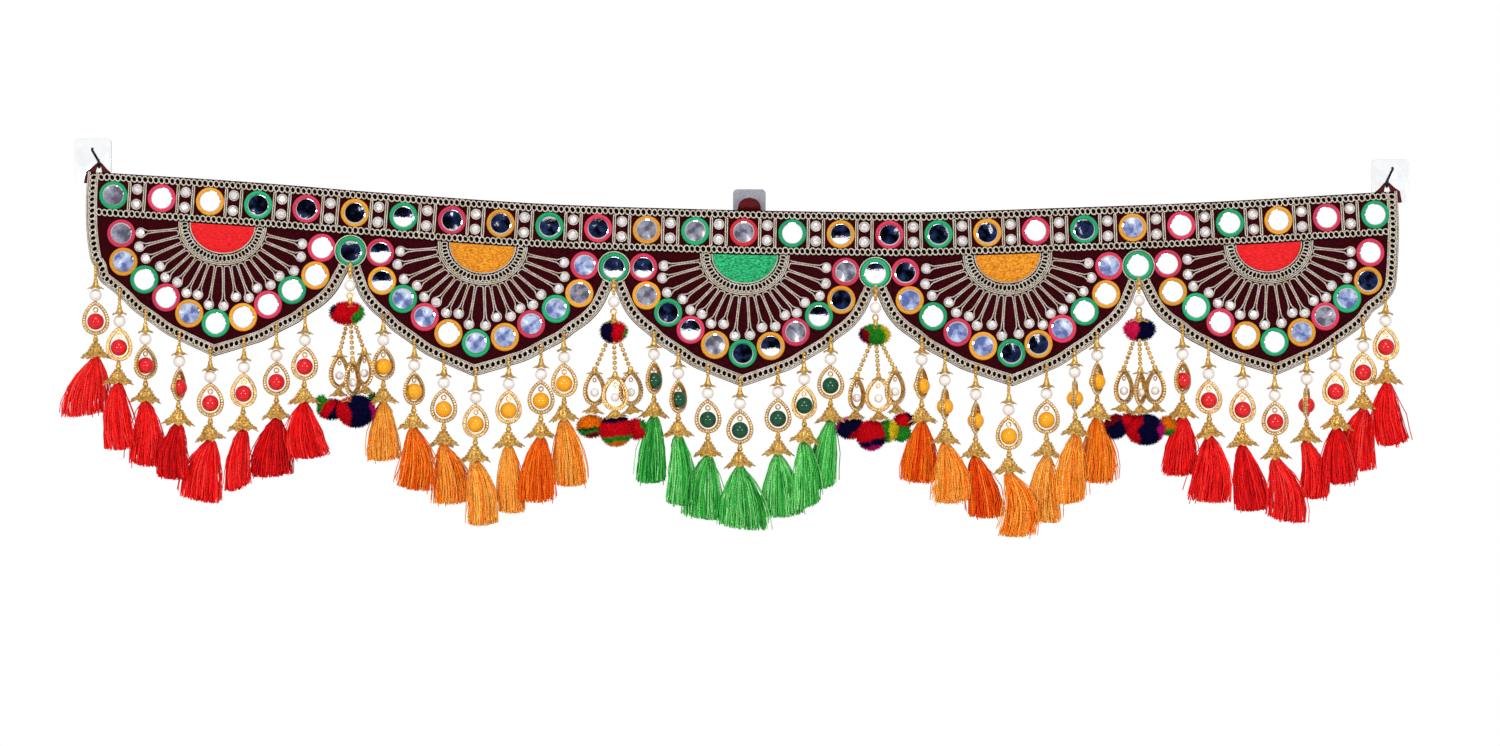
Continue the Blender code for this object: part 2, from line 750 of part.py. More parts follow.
def make_string(scallop, number, row):
    """A gold stem, cup, pearl, teardrop, bead and cap over a thread tassel."""
    x, top, lean, spread, length, turn, forward = row
    edge_z, braid_y = edge_below(x)
    y = braid_y - TRIM_GAP - STEM_HALF[1]
    turned = math.radians(turn)
    rows = [(x, y, edge_z + STEM_RISE, *STEM_HALF, 0.0)]
    for height, half_width, half_depth, turns in STRING_FORM:
        share = max(1.0 - height / LEAN_START, 0.0)
        rows.append((x, y - forward * share, top + height, half_width, half_depth, turned * turns))
    neck_z = top - NECK_LENGTH
    neck_x = x + lean * NECK_SHARE
    neck_half = spread * NECK_SHARE
    rows.append((neck_x, y - forward, neck_z, neck_half, NECK_DEPTH, 0.0))
    colour = f"tassel_{TASSEL_COLOURS[scallop]}"
    body = add_object(f"string_{scallop}_{number}", loft(rows), colour)

    locks = bmesh.new()
    root_span = 2 * neck_half * LOCK_ROOT_SHARE
    for lock in range(LOCKS):
        place = (lock + 0.5) / LOCKS - 0.5
        root_x = neck_x + place * root_span
        root_z = neck_z + LOCK_SINK
        root_half = (root_span / LOCKS - LOCK_ROOT_GAP) / 2
        tip_x = x + lean + place * spread
        tip_z = top - length + LOCK_LAG * 2 * abs(place)
        tip_half = (spread / LOCKS - LOCK_GAP) / 2
        root = (root_x, root_z, root_half, LOCK_ROOT_DEPTH)
        tip = (tip_x, tip_z, tip_half, LOCK_TIP_DEPTH)
        rings = []
        for middle, z, half, depth in (root, tip):
            back = depth * LOCK_BACK
            corners = ((middle, -depth), (middle + half, back), (middle - half, back))
            rings.append([locks.verts.new((cx, y - forward + cy, z)) for cx, cy in corners])
        for side in range(3):
            after = (side + 1) % 3
            locks.faces.new([rings[0][side], rings[0][after], rings[1][after], rings[1][side]])
        locks.faces.new(rings[0])
        locks.faces.new(rings[1])
    return join_solids(body, [add_object("locks", locks, colour)])


def pompom(centre, half):
    """A wool ball with a few locks that stand out of it."""
    shape = bmesh.new()
    bmesh.ops.create_icosphere(shape, subdivisions=1, radius=1.0)
    bmesh.ops.scale(shape, vec=half, verts=shape.verts[:])
    shape.faces.ensure_lookup_table()
    step = len(shape.faces) // POMPOM_LOCKS + 1
    chosen = list(shape.faces)[::step][:POMPOM_LOCKS]
    mean_half = Vector(half).length / math.sqrt(3)
    for vert in bmesh.ops.poke(shape, faces=chosen)["verts"]:
        vert.co = vert.co.normalized() * (mean_half + LOCK_REACH)
    bmesh.ops.translate(shape, vec=centre, verts=shape.verts[:])
    return add_object("pompom", shape, "pompom")


def make_cluster(number):
    """Beads and a pompom under a junction mirror, with three pendants that end in pompoms."""
    u = scallop_middle(number) + SCALLOP_PITCH / 2
    front = FELT_THICKNESS + TRIM_GAP + BRAID_THICKNESS
    head = hung(u, JUNCTION_DROP, 0.0)
    y = hung(u, GAP_TOP, front).y - GAP - CLUSTER_DEPTH
    rows = []
    for drop, half in CLUSTER_FORM:
        set_back = CLUSTER_DEPTH - half if drop <= SEWN_DROP else 0.0
        rows.append((head.x, y + set_back, head.z - drop, half, min(half, CLUSTER_DEPTH), 0.0))
    body = add_object(f"pompom_cluster_{number + 1}", loft(rows), "pompom")
    others = [pompom((head.x, y, head.z - POMPOM_DROP), POMPOM_HALF)]
    for (side, forward), (low_x, low_z, radius) in zip(PENDANTS, LOWER_POMPOMS[number + 1]):
        rows = []
        for drop, half_width, half_depth in PENDANT_FORM:
            along = (drop - CHAIN_TOP) / (CHAIN_FOOT - CHAIN_TOP)
            reach = min(1.0, PENDANT_ROOT_SHARE + along)
            low = max(0.0, (drop - DROP_MIDDLE) / (PENDANT_FOOT - DROP_MIDDLE))
            x = head.x + side * reach * (1 - low) + low_x * low
            rows.append((x, y + forward * reach, head.z - drop, half_width, half_depth, 0.0))
        foot = low_z - radius * PENDANT_SINK
        rows.append((head.x + low_x, y + forward, head.z - foot, *FOOT_HALF, 0.0))
        others.append(add_object("pendant", loft(rows), "pompom"))
        centre = (head.x + low_x, y + forward, head.z - low_z)
        halves = (radius, radius * LOW_POMPOM_DEPTH, radius * LOW_POMPOM_HEIGHT)
        others.append(pompom(centre, halves))
    return join_solids(body, others)


def build():
    clear_scene()
    make_felt_panel()
    make_braid()
    for number in range(SCALLOP_COUNT):
        make_half_moon(number)
        make_garland(number)
    for hook in HOOKS:
        make_loop(hook)
        make_hook(hook)
    for scallop, rows in STRINGS.items():
        for number, row in enumerate(rows, start=1):
            make_string(scallop, number, row)
    for number in range(SCALLOP_COUNT - 1):
        make_cluster(number)


build()
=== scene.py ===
import json
import math

import bmesh
import bpy
import numpy as np
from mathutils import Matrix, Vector
from mathutils.geometry import delaunay_2d_cdt

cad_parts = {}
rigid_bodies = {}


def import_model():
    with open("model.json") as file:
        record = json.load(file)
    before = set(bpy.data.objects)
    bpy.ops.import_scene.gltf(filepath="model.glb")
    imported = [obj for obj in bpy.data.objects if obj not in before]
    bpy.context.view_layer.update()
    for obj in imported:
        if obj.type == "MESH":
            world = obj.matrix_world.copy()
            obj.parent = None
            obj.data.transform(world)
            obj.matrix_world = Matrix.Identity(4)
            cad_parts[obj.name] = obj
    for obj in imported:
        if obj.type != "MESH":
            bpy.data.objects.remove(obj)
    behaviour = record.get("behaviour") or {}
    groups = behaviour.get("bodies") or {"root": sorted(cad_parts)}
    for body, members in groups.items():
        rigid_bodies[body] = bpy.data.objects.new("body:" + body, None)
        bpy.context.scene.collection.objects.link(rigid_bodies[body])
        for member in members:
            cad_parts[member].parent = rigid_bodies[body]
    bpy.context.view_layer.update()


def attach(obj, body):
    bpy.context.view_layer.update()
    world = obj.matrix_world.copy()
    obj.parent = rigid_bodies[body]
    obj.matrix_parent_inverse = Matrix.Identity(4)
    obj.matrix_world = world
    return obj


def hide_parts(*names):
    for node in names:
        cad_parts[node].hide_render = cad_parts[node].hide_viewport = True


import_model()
scene = bpy.context.scene
mm = 0.001

cloth = {
    "width": 1016.0,
    "leftX": -513.3,
    "thickness": 2.0,
    "wallGap": 7.0,
    "band": 34.0,
    "scallops": 5,
    "dyes": ("red", "orange", "green", "orange", "red"),
    "pitch": 201.6,
    "firstScallop": 107.4,
    "tipDrop": 136.9,
    "gapTop": 60.0,
    "bow": 3.0,
    "tipLean": 1.5,
    "ripple": 0.6,
    "ripplePitch": 215.0,
    "hookPlaces": (8.1, 513.3, 1008.6),
    # the top edge sags between its hooks: (u, height)
    "topEdge": (
        (0.0, 29.8), (120.0, 22.0), (240.0, 12.4), (360.0, 4.4), (475.0, 0.6),
        (560.0, -1.2), (640.0, -2.0), (740.0, 1.0), (860.0, 5.6), (1016.0, 14.6),
    ),
    # half a scallop's lower edge from the gap to the point: (distance from its middle, drop)
    "halfEdge": (
        (97.5, 68.0), (94.0, 76.0), (89.0, 84.0), (82.0, 91.5), (73.0, 98.5), (65.0, 105.6),
        (52.0, 113.6), (39.0, 121.8), (27.0, 126.8), (12.0, 132.6), (0.0, 136.9),
    ),
    "leftEnd": ((107.4, 20.0), (105.3, 45.6), (100.8, 67.8), (96.6, 73.8), (92.8, 83.6), (82.0, 91.5)),
    "rightEnd": ((102.2, 16.0), (101.6, 32.2), (98.6, 62.0), (95.4, 76.5), (87.2, 86.0), (77.8, 92.4)),
    "endShoulder": 75.0,
    "braidFront": 3.8,
    "spacing": 7.0,
    # how high the face of the felt swells, and three lengths that make it uneven
    "puff": (0.08, 9.1, 7.3, 41.0),
}
scallops = range(cloth["scallops"])


# How the cloth hangs


def edgeHeight(u):
    # height and slope of the top edge, on a smooth curve through its points
    places, heights = np.array(cloth["topEdge"]).T
    count = np.arange(len(places))
    before, after = np.maximum(count - 1, 0), np.minimum(count + 1, count[-1])
    tangents = (heights[after] - heights[before]) / (places[after] - places[before])
    index = np.clip(np.searchsorted(places, u) - 1, 0, count[-1] - 1)
    span = places[index + 1] - places[index]
    t = (u - places[index]) / span
    low, high = heights[index], heights[index + 1]
    lowSlope, highSlope = tangents[index], tangents[index + 1]
    height = (
        low * (2 * t**3 - 3 * t**2 + 1)
        + lowSlope * span * (t**3 - 2 * t**2 + t)
        + high * (3 * t**2 - 2 * t**3)
        + highSlope * span * (t**3 - t**2)
    )
    turn = lowSlope * (3 * t**2 - 4 * t + 1)
    return height, (low - high) * (6 * t**2 - 6 * t) / span + turn + highSlope * (3 * t**2 - 2 * t)


def hung(u, v, w):
    # points of the flat cloth, in millimetres, to where they hang, in metres
    u, v, w = np.broadcast_arrays(np.asarray(u, float), np.asarray(v, float), np.asarray(w, float))
    height, slope = edgeHeight(u)
    arc = np.zeros_like(u)
    for start, end in zip(cloth["hookPlaces"], cloth["hookPlaces"][1:]):
        between = (u > start) & (u < end)
        arc = np.where(between, np.sin(np.pi * (u - start) / (end - start)) ** 2, arc)
    low = np.maximum(v, 0.0) / cloth["tipDrop"]
    ripple = cloth["ripple"] * np.sin(2 * np.pi * u / cloth["ripplePitch"]) * low
    off = cloth["wallGap"] + cloth["bow"] * arc * (0.5 + 0.5 * low) + cloth["tipLean"] * low + ripple
    angle = np.arctan(slope)
    x = cloth["leftX"] + u + v * np.sin(angle)
    return np.stack([x, -off - w, height - v * np.cos(angle)], axis=-1) * mm


def onCloth(flat, front):
    return hung(flat[:, 0], flat[:, 1], front)


def clothTurn(u):
    # how far a piece turns to stay square to the top edge
    return -np.arctan(edgeHeight(np.asarray(u, float))[1])


def scallopMiddle(number):
    return cloth["firstScallop"] + cloth["pitch"] * number


# Node trees


def addNode(tree, kind, inputs=None, **settings):
    # each input is a value, a socket or a node, which gives its first output
    node = tree.nodes.new(kind)
    for name, value in settings.items():
        setattr(node, name, value)
    for name, value in (inputs or {}).items():
        if isinstance(value, bpy.types.Node):
            value = value.outputs[0]
        if isinstance(value, bpy.types.NodeSocket):
            tree.links.new(value, node.inputs[name])
        else:
            node.inputs[name].default_value = value
    return node


def startTree(name, sockets):
    tree = bpy.data.node_groups.new(name, "GeometryNodeTree")
    for label, kind in {"Geometry": "Geometry", **sockets, "Finish": "Material"}.items():
        tree.interface.new_socket(label, in_out="INPUT", socket_type=f"NodeSocket{kind}")
    tree.interface.new_socket("Geometry", in_out="OUTPUT", socket_type="NodeSocketGeometry")
    return tree, addNode(tree, "NodeGroupInput").outputs


def endTree(tree, shape, given):
    done = addNode(tree, "GeometryNodeSetMaterial", {"Geometry": shape, "Material": given["Finish"]})
    addNode(tree, "NodeGroupOutput", {"Geometry": done})
    return tree


def copiesOn(tree, points, item, rotation, size):
    # a real copy of an object on each point
    piece = addNode(tree, "GeometryNodeObjectInfo", {"Object": item}).outputs["Geometry"]
    values = {"Points": points, "Instance": piece, "Rotation": rotation, "Scale": size}
    copies = addNode(tree, "GeometryNodeInstanceOnPoints", values)
    return addNode(tree, "GeometryNodeRealizeInstances", {"Geometry": copies})


def scatterTree():
    # a small piece on each point, turned and sized by the point's own values
    tree, given = startTree("piecesOnPoints", {"Piece": "Object"})
    turn, size = (
        addNode(tree, "GeometryNodeInputNamedAttribute", {"Name": name}, data_type="FLOAT_VECTOR")
        for name in ("turn", "size")
    )
    rotation = addNode(tree, "FunctionNodeEulerToRotation", {"Euler": turn})
    return endTree(tree, copiesOn(tree, given["Geometry"], given["Piece"], rotation, size), given)


def cordTree():
    # a round cord along each line of the mesh; "thick" on a point makes the cord thicker there
    tree, given = startTree("cordsOnLines", {"Radius": "Float", "Sides": "Int"})
    lines = addNode(tree, "GeometryNodeMeshToCurve", {"Mesh": given["Geometry"]})
    thick = addNode(tree, "GeometryNodeInputNamedAttribute", {"Name": "thick"}, data_type="FLOAT")
    path = addNode(tree, "GeometryNodeSetCurveRadius", {"Curve": lines, "Radius": thick})
    sizes = {"Resolution": given["Sides"], "Radius": given["Radius"]}
    circle = addNode(tree, "GeometryNodeCurvePrimitiveCircle", sizes, mode="RADIUS")
    curves = []
    for curve, name, output in ((path, "along", "Length"), (circle, "around", "Factor")):
        place = addNode(tree, "GeometryNodeSplineParameter").outputs[output]
        stored = {"Geometry": curve, "Name": name, "Value": place}
        kinds = {"data_type": "FLOAT", "domain": "POINT"}
        curves.append(addNode(tree, "GeometryNodeStoreNamedAttribute", stored, **kinds))
    shapes = {"Curve": curves[0], "Profile Curve": curves[1], "Fill Caps": True}
    return endTree(tree, addNode(tree, "GeometryNodeCurveToMesh", shapes), given)


# how far a tuft leans, and its least and greatest size
pileForm = {"lean": 0.45, "sizes": (0.72, 1.18)}


def pileTree():
    # short tufts that stand out of a surface all over
    tree, given = startTree("pileOnSurface", {"Tuft": "Object", "Density": "Float", "Seed": "Int"})
    surface, seed = given["Geometry"], given["Seed"]
    spread = {"Mesh": surface, "Density": given["Density"], "Seed": seed}
    spots = addNode(tree, "GeometryNodeDistributePointsOnFaces", spread, distribute_method="RANDOM")
    lean, (least, most) = pileForm["lean"], pileForm["sizes"]
    turns = {0: (-lean, -lean, 0.0), 1: (lean, lean, 6.28), "Seed": seed}
    tilt = addNode(tree, "FunctionNodeRandomValue", turns, data_type="FLOAT_VECTOR")
    tilted = addNode(tree, "FunctionNodeEulerToRotation", {"Euler": tilt})
    both = {"Rotation": spots.outputs["Rotation"], "Rotate By": tilted}
    facing = addNode(tree, "FunctionNodeRotateRotation", both, rotation_space="LOCAL")
    size = addNode(tree, "FunctionNodeRandomValue", {2: least, 3: most, "Seed": seed}, data_type="FLOAT")
    tufts = copiesOn(tree, spots, given["Tuft"], facing, size.outputs[1])
    pile = addNode(tree, "GeometryNodeJoinGeometry")
    for part in (tufts.outputs[0], surface):
        tree.links.new(part, pile.inputs[0])
    return endTree(tree, pile, given)


trees = {"scatter": scatterTree(), "cord": cordTree(), "pile": pileTree()}


# Small tools


def newObject(name, mesh):
    item = bpy.data.objects.new(name, mesh)
    scene.collection.objects.link(item)
    return item


def putAttribute(mesh, name, values):
    values = np.asarray(values, np.float32)
    kinds = {1: ("FLOAT", "value"), 3: ("FLOAT_VECTOR", "vector"), 4: ("FLOAT_COLOR", "color")}
    kind, key = kinds[values.shape[1] if values.ndim == 2 else 1]
    mesh.attributes.new(name, kind, "POINT").data.foreach_set(key, values.ravel())


def rawMesh(name, points, edges=(), faces=(), **attributes):
    mesh = bpy.data.meshes.new(name)
    mesh.from_pydata(np.asarray(points).tolist(), edges, faces)
    for key, values in attributes.items():
        putAttribute(mesh, key, values)
    return mesh


def closedMesh(name, points, faces, smooth=True, weld=True):
    # a mesh whose faces all point outwards
    mesh = rawMesh(name, points, faces=faces)
    shape = bmesh.new()
    shape.from_mesh(mesh)
    if weld:
        bmesh.ops.remove_doubles(shape, verts=shape.verts[:], dist=1e-7)
    bmesh.ops.recalc_face_normals(shape, faces=shape.faces[:])
    shape.to_mesh(mesh)
    shape.free()
    if smooth:
        mesh.shade_smooth()
    return mesh


def runTree(name, mesh, kind, inputs):
    # the mesh goes through a node tree and comes back as a plain mesh
    item = newObject(name, mesh)
    modifier = item.modifiers.new("build", "NODES")
    modifier.node_group = trees[kind]
    for socket in trees[kind].interface.items_tree:
        if socket.name in inputs:
            modifier[socket.identifier] = inputs[socket.name]
    graph = bpy.context.evaluated_depsgraph_get()
    final = bpy.data.meshes.new_from_object(item.evaluated_get(graph))
    item.modifiers.remove(modifier)
    item.data = final
    bpy.data.meshes.remove(mesh)
    final.name = name
    final.shade_smooth()
    return item


def scatter(name, template, points, turns, sizes, finish, **extra):
    # points are in metres; turns are Euler angles; extra values go on each point
    count = len(points)
    sizes = np.asarray(sizes, float)
    if sizes.shape == (count,):
        sizes = sizes[:, None]
    given = {"turn": np.broadcast_to(turns, (count, 3)), "size": np.broadcast_to(sizes, (count, 3))}
    mesh = rawMesh(name + "Points", points, **given, **extra)
    return runTree(name, mesh, "scatter", {"Piece": template, "Finish": finishes[finish]})


def cords(name, lines, radius, sides, finish, closed=False, thick=None, **extra):
    # lines are arrays of points in metres, the radius is in millimetres
    points = np.concatenate(lines)
    edges, start = [], 0
    for line in lines:
        count = len(line)
        edges += [(start + index, start + index + 1) for index in range(count - 1)]
        if closed:
            edges.append((start + count - 1, start))
        start += count
    thick = np.ones(len(points)) if thick is None else thick
    mesh = rawMesh(name + "Lines", points, edges, thick=thick, **extra)
    return runTree(name, mesh, "cord", {"Radius": radius * mm, "Sides": sides, "Finish": finishes[finish]})


def turned(name, profile, segments, axis="Z", ripple=None, closed=False):
    # a small piece turned round Z, or round Y to face the front; profile rows are (radius, height) in mm
    points, faces, rows = [], [], []
    for radius, height in profile:
        row = []
        for step in range(segments if radius > 0 else 1):
            angle = 2 * math.pi * step / segments
            reach, rise = ripple(angle, radius, height) if ripple else (radius, height)
            across, deep = reach * math.cos(angle), reach * math.sin(angle)
            row.append(len(points))
            points.append((across, deep, rise) if axis == "Z" else (across, -rise, deep))
        rows.append(row)
    for first, second in zip(rows, rows[1:] + rows[:1] if closed else rows[1:]):
        for step in range(segments):
            after = (step + 1) % segments
            corners = [first[step % len(first)], first[after % len(first)]]
            corners += [second[after % len(second)], second[step % len(second)]]
            corners = list(dict.fromkeys(corners))
            if len(corners) > 2:
                faces.append(corners)
    if not closed:
        faces += [row for row in (rows[0], rows[-1]) if len(row) > 1]
    return newObject(name, closedMesh(name, np.array(points) * mm, faces))


def merged(name, parts):
    # several objects made one
    points, faces = [], []
    for part in parts:
        start = len(points)
        points += [tuple(vert.co) for vert in part.data.vertices]
        faces += [[start + corner for corner in face.vertices] for face in part.data.polygons]
        bpy.data.objects.remove(part)
    return newObject(name, closedMesh(name, points, faces))


def insideMany(points, polygon):
    # True for each point that lies inside the closed polygon
    x, y = np.asarray(points, float).T
    found = np.zeros(len(points), bool)
    corners = np.asarray(polygon, float)
    for (x0, y0), (x1, y1) in zip(corners, np.roll(corners, -1, axis=0)):
        if y0 != y1:
            found ^= ((y0 > y) != (y1 > y)) & (x < x0 + (y - y0) * (x1 - x0) / (y1 - y0))
    return found


def smoothLine(points, step):
    # a smooth curve through the points, as evenly spaced points
    rows = np.asarray(points, float)
    padded = np.concatenate([[2 * rows[0] - rows[1]], rows, [2 * rows[-1] - rows[-2]]])
    dense = []
    for index in range(len(rows) - 1):
        a, b, c, d = padded[index : index + 4]
        square, cube = 2 * a - 5 * b + 4 * c - d, 3 * b - a - 3 * c + d
        for t in np.linspace(0, 1, 12, endpoint=False):
            dense.append(0.5 * (2 * b + (c - a) * t + square * t**2 + cube * t**3))
    dense.append(rows[-1])
    return evenLine(np.array(dense), step)


def evenLine(line, step):
    lengths = np.r_[0, np.cumsum(np.hypot(*np.diff(line, axis=0).T))]
    wanted = np.linspace(0, lengths[-1], max(2, round(lengths[-1] / step) + 1))
    return np.stack([np.interp(wanted, lengths, line[:, k]) for k in (0, 1)], axis=-1)


def evenPolygon(polygon, step):
    # the same polygon with its long sides split
    points = []
    corners = np.asarray(polygon, float)
    for start, end in zip(corners, np.roll(corners, -1, axis=0)):
        pieces = max(1, math.ceil(np.hypot(*(end - start)) / step))
        points += [start + (end - start) * part / pieces for part in range(pieces)]
    return points


def moved(line, distance):
    # the line moved to its side by a distance
    along = np.gradient(line, axis=0)
    along /= np.linalg.norm(along, axis=1)[:, None]
    return line + np.stack([along[:, 1], -along[:, 0]], axis=-1) * distance


def ellipse(u, v, wide, high, angles):
    # points on the flat cloth
    return np.stack([u + wide * np.cos(angles), v + high * np.sin(angles)], axis=-1)


# a triangle with a longer side is a sliver; the inner points keep a margin; both are shares of the spacing
plateForm = {"longest": 3.5, "margin": 0.3, "weld": 1e-4, "sharp": 50}


def clothPlate(name, polygons, back, front, spacing, finish, crown=None, holds=None):
    # a flat piece in its hung place: what the first polygon or holds() accepts, given a thickness
    holds = holds or (lambda flat: insideMany(flat, polygons[0]))
    points, edges = [], []
    for polygon in polygons:
        polygon = evenPolygon(polygon, spacing)
        start, count = len(points), len(polygon)
        points += [Vector(point) for point in polygon]
        edges += [(start + index, start + (index + 1) % count) for index in range(count)]
    corners = np.array([tuple(point) for point in points])
    low, high = corners.min(axis=0), corners.max(axis=0)
    across = np.arange(low[0] + spacing / 2, high[0], spacing)
    down = np.arange(low[1] + spacing / 2, high[1], spacing)
    grid = np.array([(u, v) for row, v in enumerate(down) for u in across + (row % 2) * spacing / 2])
    keep = holds(grid)
    for shift in ((1, 0), (-1, 0), (0, 1), (0, -1)):
        keep &= holds(grid + np.array(shift) * plateForm["margin"] * spacing)
    points += [Vector(point) for point in grid[keep]]
    spots, _, triangles, *_ = delaunay_2d_cdt(points, edges, [], 0, plateForm["weld"])
    flat = np.array([tuple(spot) for spot in spots])
    triangles = np.array(triangles)
    triangles = triangles[holds(flat[triangles].mean(axis=1))]
    # slivers that would bridge two scallops go
    sides = np.linalg.norm(flat[triangles] - flat[np.roll(triangles, 1, axis=1)], axis=2)
    triangles = triangles[sides.max(axis=1) < plateForm["longest"] * spacing]
    used, triangles = np.unique(triangles, return_inverse=True)
    triangles = triangles.reshape(-1, 3)
    flat = flat[used]
    count = len(flat)
    rise = crown(flat) if crown else 0.0
    both = np.concatenate([onCloth(flat, back), onCloth(flat, front + rise)])
    faces = [[corner + count for corner in triangle] for triangle in triangles.tolist()]
    faces += [triangle[::-1] for triangle in triangles.tolist()]
    rim = {}
    for a, b, c in triangles.tolist():
        for start, end in ((a, b), (b, c), (c, a)):
            if rim.pop((end, start), None) is None:
                rim[(start, end)] = True
    faces += [[start, end, end + count, start + count] for start, end in rim]
    mesh = closedMesh(name, both, faces, weld=False)
    mesh.set_sharp_from_angle(angle=math.radians(plateForm["sharp"]))
    mesh.materials.append(finishes[finish])
    first, second, third = (flat[triangles[:, k]] for k in range(3))
    area = np.abs(np.cross(second - first, third - first)).sum() / 2 * mm * mm
    return newObject(name, mesh), float(area)


def wear(piece, slot, *nodes):
    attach(piece, "root")
    if nodes:
        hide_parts(*nodes)
    return piece


# Finishes


def colour(code):
    parts = [int(code[place : place + 2], 16) / 255 for place in (1, 3, 5)]
    return tuple(p / 12.92 if p <= 0.04045 else ((p + 0.055) / 1.055) ** 2.4 for p in parts) + (1.0,)


def makeFinish(name, tones, grain, bump, inputs, lines=(), dip=0.6, stretch=(1.0, 1.0, 1.0)):
    # tones are two colours that a noise of this grain, in mm, mixes, or two values that shade the dye;
    # lines are attributes with their waves, which darken the finish down to the dip:
    # painted shade in the grooves between plies, twists and stitches
    material = bpy.data.materials.new(name)
    material.use_nodes = True
    tree = material.node_tree
    tree.nodes.clear()
    place = addNode(tree, "ShaderNodeTexCoord").outputs["Object"]
    spread = addNode(tree, "ShaderNodeMapping", {"Vector": place, "Scale": stretch})
    height = addNode(tree, "ShaderNodeTexNoise", {"Vector": spread, "Scale": 1000 / grain, "Detail": 3.0})
    even = {"Value": height, "From Min": 0.3, "From Max": 0.7}
    if isinstance(tones[0], str):
        share = addNode(tree, "ShaderNodeMapRange", even)
        pair = {"Factor": share, 6: colour(tones[0]), 7: colour(tones[1])}
        tone = addNode(tree, "ShaderNodeMix", pair, data_type="RGBA").outputs[2]
    else:
        value = addNode(tree, "ShaderNodeMapRange", {**even, "To Min": tones[0], "To Max": tones[1]})
        dye = addNode(tree, "ShaderNodeAttribute", attribute_name="dye")
        tone = addNode(tree, "ShaderNodeHueSaturation", {"Color": dye, "Value": value})
    phase = 0.0
    for label, waves in lines:
        part = addNode(tree, "ShaderNodeAttribute", attribute_name=label).outputs["Fac"]
        wound = {0: part, 1: 2 * math.pi * waves, 2: phase}
        phase = addNode(tree, "ShaderNodeMath", wound, operation="MULTIPLY_ADD")
    # the waves darken the finish along its grooves: painted shade
    if lines:
        height = addNode(tree, "ShaderNodeMath", {0: phase}, operation="SINE")
        dark = {"Value": height, "From Min": -1.0, "From Max": 0.5, "To Min": dip}
        grooveShade = addNode(tree, "ShaderNodeMapRange", dark)
        tone = addNode(tree, "ShaderNodeHueSaturation", {"Color": tone, "Value": grooveShade})
    relief = addNode(tree, "ShaderNodeBump", {"Height": height, "Strength": 0.6, "Distance": bump * mm})
    shader = addNode(tree, "ShaderNodeBsdfPrincipled", {"Base Color": tone, "Normal": relief, **inputs})
    addNode(tree, "ShaderNodeOutputMaterial", {"Surface": shader})
    return material


matt = {"Roughness": 1.0, "Specular IOR Level": 0.05}
silky = {"Roughness": 0.5, "Specular IOR Level": 0.12}
viscose = {"Roughness": 0.4, "Specular IOR Level": 0.14}
metallicYarn = {"Metallic": 0.1, "Roughness": 0.38}
silvering = {"Metallic": 1.0, "Roughness": 0.02}
gilding = {"Metallic": 0.55, "Roughness": 0.33}
paleGilding = {"Metallic": 0.35, "Roughness": 0.36}
facets = {"Metallic": 0.3, "Roughness": 0.16, "Coat Weight": 0.5}
pearly = {"Roughness": 0.22, "Coat Weight": 0.6, "Coat Roughness": 0.1}
seeThrough = {"Roughness": 0.04, "IOR": 1.58, "Transmission Weight": 1.0}
blackWire = {"Metallic": 1.0, "Roughness": 0.35}
# plies and twist: waves that darken the grooves of cords and threads, painted shade
plies = (("along", 1 / 0.0024), ("around", 2.0))
twist = (("along", 1 / 0.0021),)
twill, brocade, ribs = (0.4, 1.0, 1.5), (0.6, 1.0, 1.3), (0.3, 1.0, 1.6)
